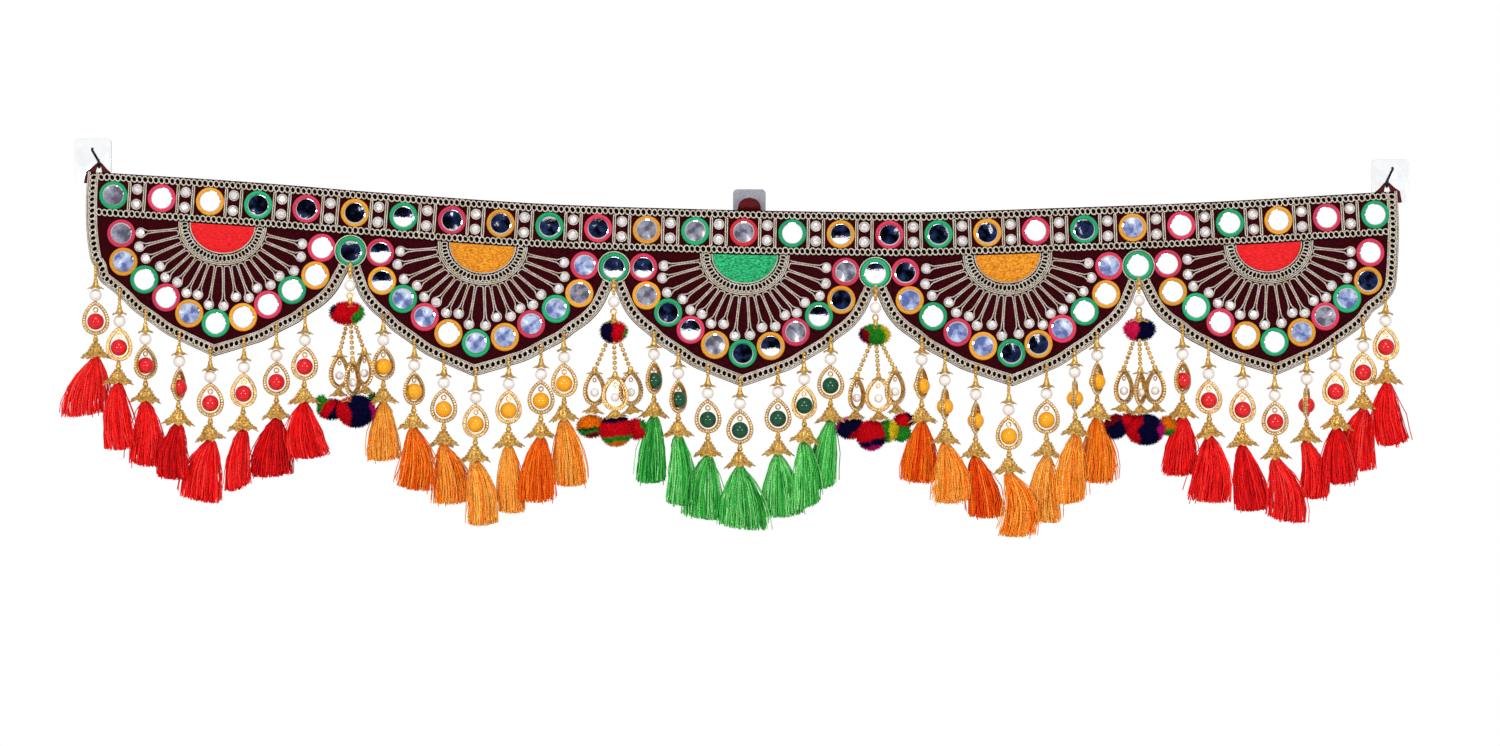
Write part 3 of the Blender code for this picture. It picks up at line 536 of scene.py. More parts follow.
finishes = {
    # pressed wool felt: deep maroon, quite matt
    "felt": makeFinish("woolFelt", ("#1e0207", "#41060f"), 1.6, 0.3, matt),
    # silver-gilt cord of two twisted plies: pale highlights, and brown hollows that are painted shade, as its
    # ply lines darken the grooves between the plies
    "cord": makeFinish("metallicCord", ("#e0cbac", "#fff9ee"), 5.0, 0.2, metallicYarn, plies, 0.4),
    # the open net under the chain braid: nearly black
    "tape": makeFinish("blackNetTape", ("#050203", "#180909"), 1.4, 0.3, matt),
    # small mirrors of silvered glass: a clean reflection, hardly wavy
    "mirror": makeFinish("silveredGlass", ("#eef1f6", "#ffffff"), 5.0, 0.03, silvering),
    # cotton thread wound close round each mirror, in fine radial lines; every second stitch is darker,
    # painted shade between the windings
    "ring": makeFinish("woundThread", (0.82, 1.1), 1.2, 0.2, silky, (("stitch", 0.75),), 0.78),
    # satin applique: a fine twill across; the green and the orange are mottled with a metallic yarn
    "moonRed": makeFinish("redSatin", ("#c40009", "#f7262a"), 1.1, 0.3, silky, stretch=twill),
    "moonOrange": makeFinish("orangeBrocade", ("#a85200", "#ffab2c"), 1.0, 0.4, silky, stretch=brocade),
    "moonGreen": makeFinish("greenLurex", ("#003f1e", "#38d88c"), 1.0, 0.4, silky, stretch=brocade),
    # foil-backed crystal: white, with grey and pinkish facets
    "crystal": makeFinish("cutCrystal", ("#cfc3c8", "#ffffff"), 2.0, 0.02, facets),
    # stamped gilt brass: warm, with brown hollows
    "gilt": makeFinish("giltBrass", ("#a05a08", "#ffdc7a"), 1.8, 0.15, gilding),
    # darker gilding on the teardrop's inner band, and painted shade where it shows as the wire round the
    # outline and the flange between the grains: brown, with some shine
    "darkGiltAndShade": makeFinish("darkGiltPaintedShade", ("#8f5612", "#f0bb58"), 2.4, 0.1, gilding),
    # soldered grains with a pale gilding
    "paleGilt": makeFinish("paleGiltGrain", ("#e3c68a", "#fff6da"), 2.0, 0.1, paleGilding),
    # moulded acrylic: one deep colour under a clean gloss
    "bead": makeFinish("mouldedAcrylic", (0.9, 1.1), 6.0, 0.01, {"Roughness": 0.1, "IOR": 1.49}),
    # glass pearl: warm white with a soft wide highlight
    "pearl": makeFinish("pearlCoat", ("#efe4db", "#fffaf5"), 5.0, 0.01, pearly),
    # viscose embroidery thread: silky and bright, darker at each turn of its twist: painted shade in the
    # grooves of the twist
    "viscose": makeFinish("viscoseThread", (0.74, 1.5), 1.1, 0.1, viscose, twist, 0.82),
    # cut wool pile: matt, each tuft in its own dye
    "wool": makeFinish("cutWool", (0.6, 1.3), 1.4, 0.1, matt),
    # grosgrain ribbon with fine ribs across
    "ribbon": makeFinish("grosgrainRibbon", ("#260207", "#6c0b18"), 1.0, 0.2, silky, stretch=ribs),
    # clear moulded polycarbonate, seen by its edges
    "clear": makeFinish("clearPolycarbonate", ("#f3f8fb", "#ffffff"), 6.0, 0.02, seeThrough),
    # matt grey moulded plastic with a spark-eroded grain
    "grey": makeFinish("greyMouldedPlastic", ("#86848c", "#a3a1a9"), 1.2, 0.1, {"Roughness": 0.45}),
    # drawn steel wire with a black finish
    "steel": makeFinish("blackenedSteelWire", ("#0b0b0c", "#34343a"), 1.5, 0.05, blackWire),
    # pale matt vinyl, for the floor
    "floor": makeFinish("paleVinyl", ("#efedeb", "#f6f4f2"), 8.0, 0.05, {"Roughness": 0.8}),
}
print("finishes made")

# Edges of the cloth: each scallop has a left and a right half, from the gap down to the point

edgeLine = {"step": 2.0, "gapRise": 50.0, "least": 0.05, "pointDrop": 0.45}


def atEnd(number, side):
    # side is -1 for a scallop's left half and 1 for its right half
    return number == (0 if side < 0 else cloth["scallops"] - 1)


def halfLine(number, side):
    half = cloth["halfEdge"]
    if atEnd(number, side):
        end = cloth["leftEnd"] if side < 0 else cloth["rightEnd"]
        rows = ((end[0][0], 0.0),) + end + tuple(row for row in half if row[0] < cloth["endShoulder"])
    else:
        rows = ((cloth["pitch"] / 2, edgeLine["gapRise"]), (cloth["pitch"] / 2, cloth["gapTop"])) + half
    line = smoothLine(rows, edgeLine["step"])
    return np.stack([scallopMiddle(number) + side * line[:, 0], line[:, 1]], axis=-1)


def innerLine(number, side, distance):
    # the same line moved into the cloth, and stopped where it meets the scallop's middle
    middle = scallopMiddle(number)
    line = moved(halfLine(number, side), distance * -side)
    past = (line[:, 0] - middle) * side
    if (past > 0).all():
        return np.concatenate([line, [[middle, line[-1, 1] + past[-1] * edgeLine["pointDrop"]]]])
    stop = int(np.argmin(past > 0))
    share = past[stop - 1] / (past[stop - 1] - past[stop])
    return np.concatenate([line[:stop], [line[stop - 1] + (line[stop] - line[stop - 1]) * share]])


def wholeEdge(distance):
    # the lower edge from the left top corner to the right top corner
    parts = []
    for number in scallops:
        for side in (-1, 1):
            line = innerLine(number, side, distance)[::-side]
            if not atEnd(number, side):
                line = line[line[:, 1] >= cloth["gapTop"]]
            parts.append(line if side < 0 else line[1:])
    line = np.concatenate(parts)
    gaps = np.hypot(*np.diff(line, axis=0).T)
    return line[np.r_[True, gaps > edgeLine["least"]]]


def makeFelt():
    outline = np.concatenate([wholeEdge(0.0), [(cloth["width"], 0.0), (0.0, 0.0)]])
    high, first, second, third = cloth["puff"]

    def puff(flat):
        # the face of the felt is not quite even
        return high * np.sin(flat[:, 0] / first) * np.sin(flat[:, 1] / second + flat[:, 0] / third)

    piece, area = clothPlate(
        "feltCloth", [outline], 0.0, cloth["thickness"], cloth["spacing"], "felt", puff
    )
    return wear(piece, "felt", "felt_panel"), area


felt, feltArea = makeFelt()
print(f"felt cloth made, {feltArea:.4f} square metres")

# Half moons, each in an arch of braid that keeps its distance from the moon's edge

moons = {
    "radius": 24.8,
    "depth": 21.5,
    "top": 34.6,
    "back": 2.1,
    "thickness": 1.1,
    "spacing": 1.8,
    "crown": 0.9,
    "edge": 0.2,
    "topEdge": 3.0,
    "pucker": 0.12,
    "puckers": 22,
}


def archLine(number, offset, angles):
    middle, radius, depth = scallopMiddle(number), moons["radius"] + offset, moons["depth"] + offset
    return ellipse(middle, moons["top"], radius, depth, angles)


def makeHalfMoon(number):
    outline = archLine(number, 0.0, np.linspace(0, np.pi, 48))

    def crown(flat):
        across, down = flat[:, 0] - scallopMiddle(number), flat[:, 1] - moons["top"]
        reach = np.hypot(across / moons["radius"], down / moons["depth"])
        edge = np.clip((1 - reach) / moons["edge"], 0, 1) * np.clip(down / moons["topEdge"], 0, 1)
        pucker = moons["pucker"] * np.sin(np.arctan2(down, across) * moons["puckers"]) * reach**3
        return moons["crown"] * (edge * (2 - edge)) ** 0.5 + pucker * edge

    name, dye, back = f"halfMoon{number + 1}", cloth["dyes"][number], moons["back"]
    front, finish = back + moons["thickness"], f"moon{dye.title()}"
    piece, area = clothPlate(name, [outline], back, front, moons["spacing"], finish, crown)
    wear(piece, f"satin_{dye}", f"half_moon_{number + 1}")


for moonNumber in scallops:
    makeHalfMoon(moonNumber)
print("half moons made")

# Braid: a dark net tape, chain loops along its middle and pairs of cords at its borders

braid = {
    "inset": 0.8,
    "top": 6.2,
    "edge": 8.8,
    "slotInset": 9.0,
    "tapeBack": 2.02,
    "tapeFront": 2.45,
    "tapeSpacing": 6.0,
    "loopPitch": 4.25,
    "loopHigh": 2.45,
    "loopWide": 1.95,
    "loopWire": 0.55,
    "loopSlant": -20.0,
    "edgeSlant": 26.0,
    "loopFront": 3.1,
    "loopInset": 8.8,
    # how unevenly the loops lie: place, lean and turn
    "loopUneven": (0.1, 0.14, 0.1),
    "loopSizes": (0.93, 1.08),
    "edgeLoops": 4.9,
    # where the edge's loops start: at the ends, and how far above the gap between two scallops
    "edgeStart": (2.0, 3.0),
    "edgeCords": (0.9, 2.1, 7.2, 8.3),
    # the arch: distances out from the half moon's edge
    "archLoops": 29,
    "archMiddle": 4.6,
    "archHigh": 2.5,
    "archWide": 1.6,
    "archCords": (0.6, 8.0, 9.3),
    "archTape": 9.9,
    "cordFront": 3.05,
}


def makeTape():
    # its outline, a slot along the band and the field of every scallop but for the arch
    inset, band, width = braid["inset"], cloth["band"], cloth["width"]
    slotTop, slotFoot, slotLeft = braid["top"], band - braid["top"], braid["slotInset"]
    slotRight = width - slotLeft
    border = wholeEdge(inset)
    border = border[border[:, 1] >= inset]
    border = np.concatenate([[(inset, inset)], border, [(width - inset, inset)]])
    slot = np.array([(slotLeft, slotTop), (slotRight, slotTop), (slotRight, slotFoot), (slotLeft, slotFoot)])
    windows, arches = [], []
    for number in scallops:
        left = innerLine(number, -1, braid["edge"])
        right = innerLine(number, 1, braid["edge"])[::-1]
        ring = np.concatenate([left[left[:, 1] > band], right[right[:, 1] > band][1:]])
        windows.append(np.concatenate([[(ring[0, 0], band)], ring, [(ring[-1, 0], band)]]))
        arches.append(archLine(number, braid["archTape"], np.linspace(-0.02, np.pi + 0.02, 40)))

    def holds(flat):
        kept = insideMany(flat, border) & ~insideMany(flat, slot)
        for window, arch in zip(windows, arches):
            near = (flat[:, 0] > window[:, 0].min() - 1) & (flat[:, 0] < window[:, 0].max() + 1)
            kept[near] &= ~insideMany(flat[near], window) | insideMany(flat[near], arch)
        return kept

    polygons, spacing = [border, slot] + windows + arches, braid["tapeSpacing"]
    depths = braid["tapeBack"], braid["tapeFront"]
    return wear(clothPlate("netTape", polygons, *depths, spacing, "tape", holds=holds)[0], "braid")


def uprightRing(wide, high, count):
    # an upright ring in metres
    angles = np.linspace(0, 2 * np.pi, count, endpoint=False)
    return np.stack([wide * np.cos(angles), np.zeros(count), high * np.sin(angles)], axis=-1) * mm


def loopsAlong(line, slant):
    # where each chain loop lies on a flat line and how it turns
    spots = evenLine(line, braid["loopPitch"])
    spots = (spots[1:] + spots[:-1]) / 2
    along = np.gradient(spots, axis=0)
    angle = np.arctan2(along[:, 1], along[:, 0])
    return [(u, v, a + math.radians(slant)) for (u, v), a in zip(spots, angle)]


def makeChain():
    inset, band, width = braid["inset"], cloth["band"], cloth["width"]
    loops = []
    for middle in ((inset + braid["top"]) / 2, band - (braid["top"] - inset) / 2 - inset / 2):
        line = np.array([(braid["loopInset"], middle), (width - braid["loopInset"], middle)])
        loops += loopsAlong(line, braid["loopSlant"])
    endStart, gapRise = braid["edgeStart"]
    for number in scallops:
        for side in (-1, 1):
            line = innerLine(number, side, braid["edgeLoops"])
            line = line[line[:, 1] > (endStart if atEnd(number, side) else cloth["gapTop"] - gapRise)]
            loops += loopsAlong(line, braid["edgeSlant"] * side)
    plain = len(loops)
    for number in scallops:
        angles = np.pi * (np.arange(braid["archLoops"]) + 0.5) / braid["archLoops"]
        spots = archLine(number, braid["archMiddle"], angles)
        loops += [(u, v, angle + np.pi / 2) for (u, v), angle in zip(spots, angles)]
    rows = np.array(loops)
    count = len(rows)
    rng = np.random.default_rng(11)
    place, lean, turn = braid["loopUneven"]
    rows[:, :2] += rng.normal(0, place, (count, 2))
    turns = np.zeros((count, 3))
    turns[:, 0] = rng.uniform(-lean, lean, count)
    turns[:, 1] = rows[:, 2] + clothTurn(rows[:, 0]) + rng.normal(0, turn, count)
    arch = np.array([braid["archWide"] / braid["loopWide"], 1.0, braid["archHigh"] / braid["loopHigh"]])
    sizes = np.where((np.arange(count) < plain)[:, None], np.ones(3), arch)
    sizes = sizes * rng.uniform(*braid["loopSizes"], (count, 1))
    shape = uprightRing(braid["loopWide"], braid["loopHigh"], 12)
    template = cords("loopShape", [shape], braid["loopWire"], 5, "cord", closed=True)
    piece = scatter("chainLoops", template, onCloth(rows, braid["loopFront"]), turns, sizes, "cord")
    return wear(piece, "braid", "braid_and_band_mirrors")


netTape = makeTape()
chainLoops = makeChain()
print("braid made")

# Mirrors, each in a thread ring. Each letter says what the mirror catches, which sets its tilt:
# w bright room, g grey floor, b blue-grey wall, k and n dark room, p bright and dark, q grey and dark

mirrors = {
    "first": 21.1,
    "pitch": 37.56,
    "band": "gwwnnnpnkkkgggwpknnwkbwwwww",
    "bandV": 17.2,
    "junctionV": 47.0,
    "junctions": "kpqw",
    "junctionSize": 1.04,
    "garland": ((0.0, 76.3), (21.3, 70.1), (40.3, 58.9), (58.1, 46.1), (75.2, 33.3), (78.3, 11.6)),
    "garlandTop": 34.8,
    "garlands": ("gbwwbwwwwww", "ppbbwbbbbgb", "pgnqgnpgqkg", "kbwbbnnbwwb", "wwwwwwbgbkw"),
    "rings": "ryGryG",
    "glass": 7.6,
    "rim": 8.5,
    "front": 1.1,
    "rimFront": 0.7,
    "curve": 400.0,
    "sharp": 12,
    # the thread ring: its section's steps outwards and forwards, as shares of its half width and height
    "ring": (9.6, 1.45, 1.6),
    "section": ((-1.0, 0.0), (-0.8, 0.8), (0.0, 1.15), (0.8, 0.75), (1.0, 0.0)),
    "stitches": 24,
    "stitchDeep": 0.07,
    "back": 2.3,
    # how far above the level each kind of mirror looks, as a slope
    "looks": {"w": 0.03, "g": -0.10, "b": -0.20, "k": 0.19, "n": 0.165, "p": 0.126, "q": 0.12},
    "uneven": 0.012,
    "dyes": {"G": "#26b878", "r": "#ec4263", "R": "#ec3640", "y": "#ffae36"},
    "shades": (0.85, 1.12),
}

view = {
    "lens": 85.0,
    "sensor": 36.0,
    # the face of the cloth fills the frame at this width
    "width": 1.1625,
    "aim": (0.0005, -0.012, -0.1265),
}
viewDistance = view["width"] * view["lens"] / view["sensor"]
cameraSpot = Vector((view["aim"][0], view["aim"][1] - viewDistance, view["aim"][2]))


def mirrorRows():
    # (u, v, what it catches, ring colour, size) of every mirror
    rows = []
    count = len(mirrors["band"])
    for number, kind in enumerate(mirrors["band"]):
        ring = "R" if number == count // 2 else "Gry"[min(number, count - 1 - number) % 3]
        rows.append((mirrors["first"] + mirrors["pitch"] * number, mirrors["bandV"], kind, ring, 1.0))
    for number, kind in enumerate(mirrors["junctions"]):
        u = scallopMiddle(number) + cloth["pitch"] / 2
        rows.append((u, mirrors["junctionV"], kind, "G", mirrors["junctionSize"]))
    last = len(mirrors["garland"]) - 1
    for number, kinds in enumerate(mirrors["garlands"]):
        for place, kind in enumerate(kinds):
            step = abs(place - last)
            distance, drop = mirrors["garland"][step]
            u = scallopMiddle(number) + math.copysign(distance, place - last)
            rows.append((u, mirrors["garlandTop"] + drop, kind, mirrors["rings"][last - step], 1.0))
    return rows


def makeMirrors():
    rows = mirrorRows()
    count = len(rows)
    rng = np.random.default_rng(5)
    sizes = np.array([row[4] for row in rows])
    points = onCloth(np.array([row[:2] for row in rows]), mirrors["back"])
    turns = []
    uneven = mirrors["uneven"]
    for point, row in zip(points, rows):
        # a mirror faces halfway between the viewer and what it catches
        seen = (Vector(point) - cameraSpot).normalized()
        catch = Vector((seen.x / seen.y, -1.0, mirrors["looks"][row[2]] + rng.uniform(-uneven, uneven)))
        facing = (catch.normalized() - seen).normalized()
        turns.append((-math.atan2(facing.z, -facing.y), 0.0, math.atan2(facing.x, -facing.y)))
    front, rim, curve = mirrors["front"], mirrors["rim"], 2 * mirrors["curve"]
    profile = [(radius, front - radius**2 / curve) for radius in np.array([0.0, 0.5, 1.0]) * mirrors["glass"]]
    template = turned("mirrorShape", profile + [(rim, mirrors["rimFront"]), (rim, 0.0)], 26, axis="Y")
    discs = scatter("mirrorGlass", template, points, turns, sizes, "mirror")
    discs.data.set_sharp_from_angle(angle=math.radians(mirrors["sharp"]))
    wear(discs, "mirror", *[f"mirror_garland_{number + 1}" for number in scallops])

    def stitched(angle, radius, height):
        # ridges of thread across the ring
        deep = mirrors["stitchDeep"]
        return radius, height * (1 - deep + deep * math.cos(angle * mirrors["stitches"]))

    middle, half, high = mirrors["ring"]
    section = [(middle + half * out, high * up) for out, up in mirrors["section"]]
    template = turned("ringShape", section, mirrors["stitches"] * 2, "Y", stitched, closed=True)
    # the stitch attribute marks every second stitch row, which the ring finish darkens: painted shade between
    # the windings
    putAttribute(template.data, "stitch", np.tile([1.0, -1.0], mirrors["stitches"] * len(section)))
    ringTurns = np.zeros((count, 3))
    ringTurns[:, 1] = rng.uniform(0, 6.28, count)
    tones = np.array([colour(mirrors["dyes"][row[3]]) for row in rows])
    tones[:, :3] *= rng.uniform(*mirrors["shades"], (count, 1))
    rings = scatter("threadRings", template, points, ringTurns, sizes, "ring", dye=tones)
    return discs, wear(rings, "thread")


mirrorGlass, threadRings = makeMirrors()
print("mirrors made")

# Cords sewn down on the felt: borders, arches, rays with a ring round each stone, and bars

rays = {
    "count": 18,
    "first": 8.5,
    "step": 9.5,
    "uneven": (0.8, 0.9),
    "reach": (63.5, 66.6, 65.9, 58.9, 60.4, 56.2, 60.0, 56.6, 62.8),
    "start": 10.6,
    "neck": 1.4,
    "half": 0.62,
    "foot": 2.2,
    "ring": 3.75,
    "ringStart": 1.65,
    "stone": 3.25,
    "stoneBack": 2.1,
    "stoneLean": 0.14,
    # the stone's facets: (share of its radius, height)
    "facets": ((0.0, 2.2), (0.42, 2.15), (0.8, 1.5), (1.0, 0.7), (0.9, 0.0)),
    "cord": 0.5,
    "front": 2.5,
    "barHalf": 0.75,
    "barPlace": 5.9,
    "barEnds": (7.2, 27.2, 0.9),
    "barFront": 2.6,
    "stoneGap": 5.85,
    "stoneShift": 0.6,
    "junctionRing": 12.1,
    "junctionCut": 9.8,
    "junctionFront": 3.5,
}


def rayPlaces(number):
    # the angle and the stone's distance of each ray of a scallop
    rng = np.random.default_rng(100 + number)
    turn, reach = rays["uneven"]
    for ray in range(rays["count"]):
        near = min(ray, rays["count"] - 1 - ray)
        angle = rays["first"] + rays["step"] * near
        angle = angle if ray < rays["count"] / 2 else 180 - angle
        yield math.radians(angle + rng.uniform(-turn, turn)), rays["reach"][near] + rng.uniform(-reach, reach)


def cutCorners(line):
    # a rounder line
    first, second = line[:-1] * 0.75 + line[1:] * 0.25, line[:-1] * 0.25 + line[1:] * 0.75
    between = np.stack([first, second], axis=1).reshape(-1, 2)
    return np.concatenate([line[:1], between, line[-1:]])


def rayLine(number):
    # one cord goes up and down every ray, round its stone and back along the arch
    origin = np.array([scallopMiddle(number), moons["top"]])
    wide, deep = moons["radius"] + rays["start"], moons["depth"] + rays["start"]
    half, ring = rays["half"], rays["ring"]
    line = []
    for angle, reach in rayPlaces(number):
        out = np.array([math.cos(angle), math.sin(angle)])
        side = np.array([-out[1], out[0]])
        start = 1 / math.hypot(out[0] / wide, out[1] / deep)
        neck, near = start + rays["neck"], reach - ring * rays["ringStart"]
        steps = [(start, -half * rays["foot"]), (neck, -half), (near, -half)]
        for turn in np.radians(np.arange(-145, 146, 29)):
            steps.append((reach + ring * math.cos(turn), ring * math.sin(turn)))
        steps += [(near, half), (neck, half), (start, half * rays["foot"])]
        line += [origin + out * far + side * across for far, across in steps]
    return cutCorners(np.array(line))


def stoneSpots():
    spots = []
    for number in scallops:
        for angle, reach in rayPlaces(number):
            u, v = scallopMiddle(number) + math.cos(angle) * reach, moons["top"] + math.sin(angle) * reach
            spots.append((u, v))
    for number in range(len(mirrors["band"]) - 1):
        u = mirrors["first"] - rays["stoneShift"] + mirrors["pitch"] * (number + 0.5)
        spots += [(u, mirrors["bandV"] + side * rays["stoneGap"]) for side in (-1, 1)]
    return np.array(spots)


def circleLine(u, v, radius, count=22):
    return ellipse(u, v, radius, radius, np.linspace(0, 2 * np.pi, count, endpoint=False))


def makeCords():
    lines, closed = [], []
    front, sewn = braid["cordFront"], rays["front"]
    for number in scallops:
        for distance in braid["edgeCords"]:
            for side in (-1, 1):
                # between two scallops the cords end under the ring of the mirror there
                line = innerLine(number, side, distance)
                if not atEnd(number, side):
                    line = line[line[:, 1] > mirrors["junctionV"] + rays["junctionCut"]]
                lines.append(onCloth(line, front))
        for offset in braid["archCords"]:
            lines.append(onCloth(archLine(number, offset, np.linspace(-0.01, np.pi + 0.01, 44)), front))
        lines.append(onCloth(rayLine(number), sewn))
    stones = stoneSpots()[cloth["scallops"] * rays["count"] :]
    closed += [onCloth(circleLine(u, v, rays["ring"]), sewn) for u, v in stones]
    angles, half = np.linspace(0, np.pi, 6), rays["barHalf"]
    top, foot, bend = rays["barEnds"]
    for middle in stones[::2, 0]:
        for u in (middle - rays["barPlace"], middle + rays["barPlace"]):
            bar = [ellipse(u, top, half, -bend, angles), ellipse(u, foot, -half, bend, angles)]
            closed.append(onCloth(np.concatenate(bar), rays["barFront"]))
    for number in scallops[:-1]:
        ring = circleLine(
            scallopMiddle(number) + cloth["pitch"] / 2, mirrors["junctionV"], rays["junctionRing"], 40
        )
        closed.append(onCloth(ring, rays["junctionFront"]))
    runs = cords("couchedCords", lines, rays["cord"], 4, "cord")
    rings = cords("couchedRings", closed, rays["cord"], 5, "cord", closed=True)
    return wear(runs, "braid"), wear(rings, "braid")


def makeStones():
    spots = onCloth(stoneSpots(), rays["stoneBack"])
    profile = [(rays["stone"] * share, rise) for share, rise in rays["facets"]]
    template = turned("stoneShape", profile, 11, "Y")
    rng = np.random.default_rng(21)
    turns = rng.uniform(-rays["stoneLean"], rays["stoneLean"], (len(spots), 3))
    turns[:, 1] = rng.uniform(0, 6.28, len(spots))
    piece = scatter("crystalStones", template, spots, turns, [1.0], "crystal")
    piece.data.shade_flat()
    return wear(piece, "bead")


couchedCords, couchedRings = makeCords()
crystalStones = makeStones()
print("cords and stones made")

# Strings: (x, height of the tassel's top, lean, spread, length, turn of the drop)

stringRows = {
    1: (
        (-506.4, -116.2, -8.0, 37.0, 44.0, 0),
        (-487.8, -136.4, 2.3, 23.0, 50.0, 0),
        (-467.6, -150.3, 0.8, 24.8, 49.0, 35),
        (-441.3, -167.4, -3.1, 23.0, 42.0, 75),
        (-417.3, -179.5, -8.0, 31.0, 47.0, 0),
        (-391.3, -172.1, -3.9, 18.0, 45.0, 0),
        (-366.1, -163.1, -4.3, 31.5, 44.5, 0),
        (-344.0, -151.1, 4.3, 30.0, 42.0, 0),
    ),
    2: (
        (-283.2, -151.1, 0.8, 24.8, 44.0, 35),
        (-259.2, -170.5, 0.8, 26.0, 47.0, 40),
        (-236.4, -184.1, 6.5, 29.0, 44.5, 0),
        (-211.6, -195.6, 5.9, 23.0, 49.0, 0),
        (-186.3, -185.0, 2.3, 20.0, 50.5, 15),
        (-161.2, -177.5, -3.4, 27.0, 49.5, 0),
        (-143.4, -164.3, 4.7, 25.5, 50.5, 0),
    ),
    3: (
        (-73.9, -162.0, -1.6, 21.5, 50.5, 60),
        (-55.0, -176.7, 0.9, 19.5, 52.5, 45),
        (-32.1, -192.2, -3.5, 33.0, 48.0, 0),
        (-7.3, -200.3, 2.7, 37.0, 47.5, 0),
        (22.2, -191.4, 3.5, 31.5, 47.5, 0),
        (42.5, -181.3, 2.1, 20.0, 49.5, 20),
        (62.9, -165.8, -7.0, 20.0, 51.0, 0),
    ),
    4: (
        (133.4, -166.2, -2.7, 27.5, 46.0, 60),
        (151.3, -182.1, 4.2, 26.0, 45.5, 70),
        (175.1, -193.0, 7.5, 27.5, 46.5, 65),
        (200.6, -205.0, 6.0, 27.5, 48.5, 0),
        (229.9, -192.5, -1.9, 22.5, 50.0, 0),
        (251.7, -175.9, -4.0, 23.5, 52.0, 80),
        (269.2, -162.8, 0.2, 26.0, 49.5, 55),
    ),
    5: (
        (335.3, -162.0, -2.3, 24.5, 45.0, 45),
        (355.4, -177.2, -0.4, 31.5, 50.0, 0),
        (381.8, -184.5, 8.0, 26.5, 49.5, 0),
        (406.6, -193.8, 8.5, 29.5, 48.0, 0),
        (431.4, -181.1, 5.4, 20.0, 43.5, 80),
        (453.6, -170.5, 2.6, 26.0, 42.5, 0),
        (475.5, -155.8, -5.8, 29.0, 47.0, 0),
        (492.8, -136.0, 4.4, 23.0, 47.0, 0),
    ),
}

# heights above the tassel's top, and sizes
findings = {
    # every second string hangs this far in front
    "forward": 7.0,
    "stemStart": 7.0,
    "stemRise": 7.0,
    "stemGap": 1.6,
    "leanStart": 45.6,
    "seed": 1.4,
    "seedPitch": 2.4,
    "cup": 55.2,
    "pearl": (50.0, 4.65),
    "drop": (32.2, 10.1, 12.9),
    "point": 0.48,
    "rim": 1.1,
    "grains": 32,
    "grain": (1.0, 1.25, 1.3),
    "wire": 0.38,
    # the teardrop's band and flange: (share of its line's size, half depth)
    "band": (0.94, 1.9),
    "flange": (0.98, 0.3),
    "bead": (29.6, 6.5),
    "pin": (38.6, 1.7),
    "pinWire": 0.32,
    "neck": ((17.6, 1.7), (15.0, 2.3), (45.9, 1.2)),
    "cap": 1.0,
    "capSize": (1.03, 0.95, 1.0),
    "sharp": 40,
    # how unevenly the teardrops turn and roll, and the caps and cups tilt
    "uneven": (0.12, 0.06, 0.1),
    "beadDyes": {"red": "#e00d18", "orange": "#f9a808", "green": "#004a2e"},
}
strings = {
    scallop: [(*row, findings["forward"] * (place % 2)) for place, row in enumerate(rows)]
    for scallop, rows in stringRows.items()
}


def lowerPoints():
    # the straight-sided lower edge that the strings hang from
    rows = []
    half = list(cloth["halfEdge"])
    low = [row for row in half if row[0] < cloth["endShoulder"]]
    for number in scallops:
        middle = scallopMiddle(number)
        left = list(cloth["leftEnd"]) + low if atEnd(number, -1) else half
        right = list(cloth["rightEnd"]) + low if atEnd(number, 1) else half
        rows += [(middle - distance, drop) for distance, drop in left]
        rows += [(middle + distance, drop) for distance, drop in right[::-1][1:]]
        if not atEnd(number, 1):
            rows.append((middle + cloth["pitch"] / 2, cloth["gapTop"]))
    return np.array(rows)


edgeHung = onCloth(lowerPoints(), cloth["braidFront"]) / mm


def edgeBelow(x):
    # height and depth of that edge, in millimetres
    for start, end in zip(edgeHung, edgeHung[1:]):
        if start[0] <= x <= end[0]:
            t = (x - start[0]) / (end[0] - start[0])
            return start[2] + (end[2] - start[2]) * t, start[1] + (end[1] - start[1]) * t
    raise ValueError(f"no edge at {x}")


def stringSpot(row, height):
    # a point of a string's own line, in millimetres
    share = max(1.0 - height / findings["leanStart"], 0.0)
    return row[0], edgeBelow(row[0])[1] - findings["stemGap"] - row[6] * share, row[1] + height


allStrings = [(scallop, row) for scallop, rows in strings.items() for row in rows]

# Clusters under the junction mirrors: drops below the mirror's middle, in millimetres

clusters = {
    "pearl": (27.0, 4.4),
    "seeds": ((11.0, 1.6), (14.2, 2.3), (17.6, 1.9), (20.6, 1.4)),
    "eye": (34.6, 2.3),
    "cup": 43.4,
    "cupSizes": {1: 0.95, 2: 1.0, 3: 1.0, 4: 1.35},
    "cupTurn": 0.4,
    "depth": 2.7,
    "gap": 0.3,
    "chain": (56.5, 78.5, 3.4),
    "chainShare": 0.33,
    "chainSeed": 0.53,
    "chainBead": 1.9,
    "chainBeads": (0.8, 1.2),
    "dropScale": 1.05,
    "dropPearl": (3.4, 3.3),
    "pin": (6.2, 1.5),
    # the small cup over each teardrop and the small cap below it: place and size
    "smallCup": (2.4, (1.05, 0.8, 0.75)),
    "flower": (19.5, (0.86, 0.6, 0.48)),
    "flowerOut": 1.08,
    "flowerTilt": 0.15,
    # (side, drop, turn) of each teardrop's middle
    "teardrops": {
        1: ((-8.4, 93.1, 48), (2.4, 98.6, 60), (10.9, 91.3, -44)),
        2: ((-14.9, 93.6, 37), (1.2, 97.4, -14), (13.2, 93.4, 30)),
        3: ((-14.5, 93.4, 50), (2.2, 93.8, 10), (15.2, 88.6, 40)),
        4: ((-11.5, 93.5, 38), (0.6, 94.8, 60), (12.7, 93.5, -46)),
    },
    # forward set of the left, middle and right teardrop
    "forward": (1.2, -4.4, 1.2),
}


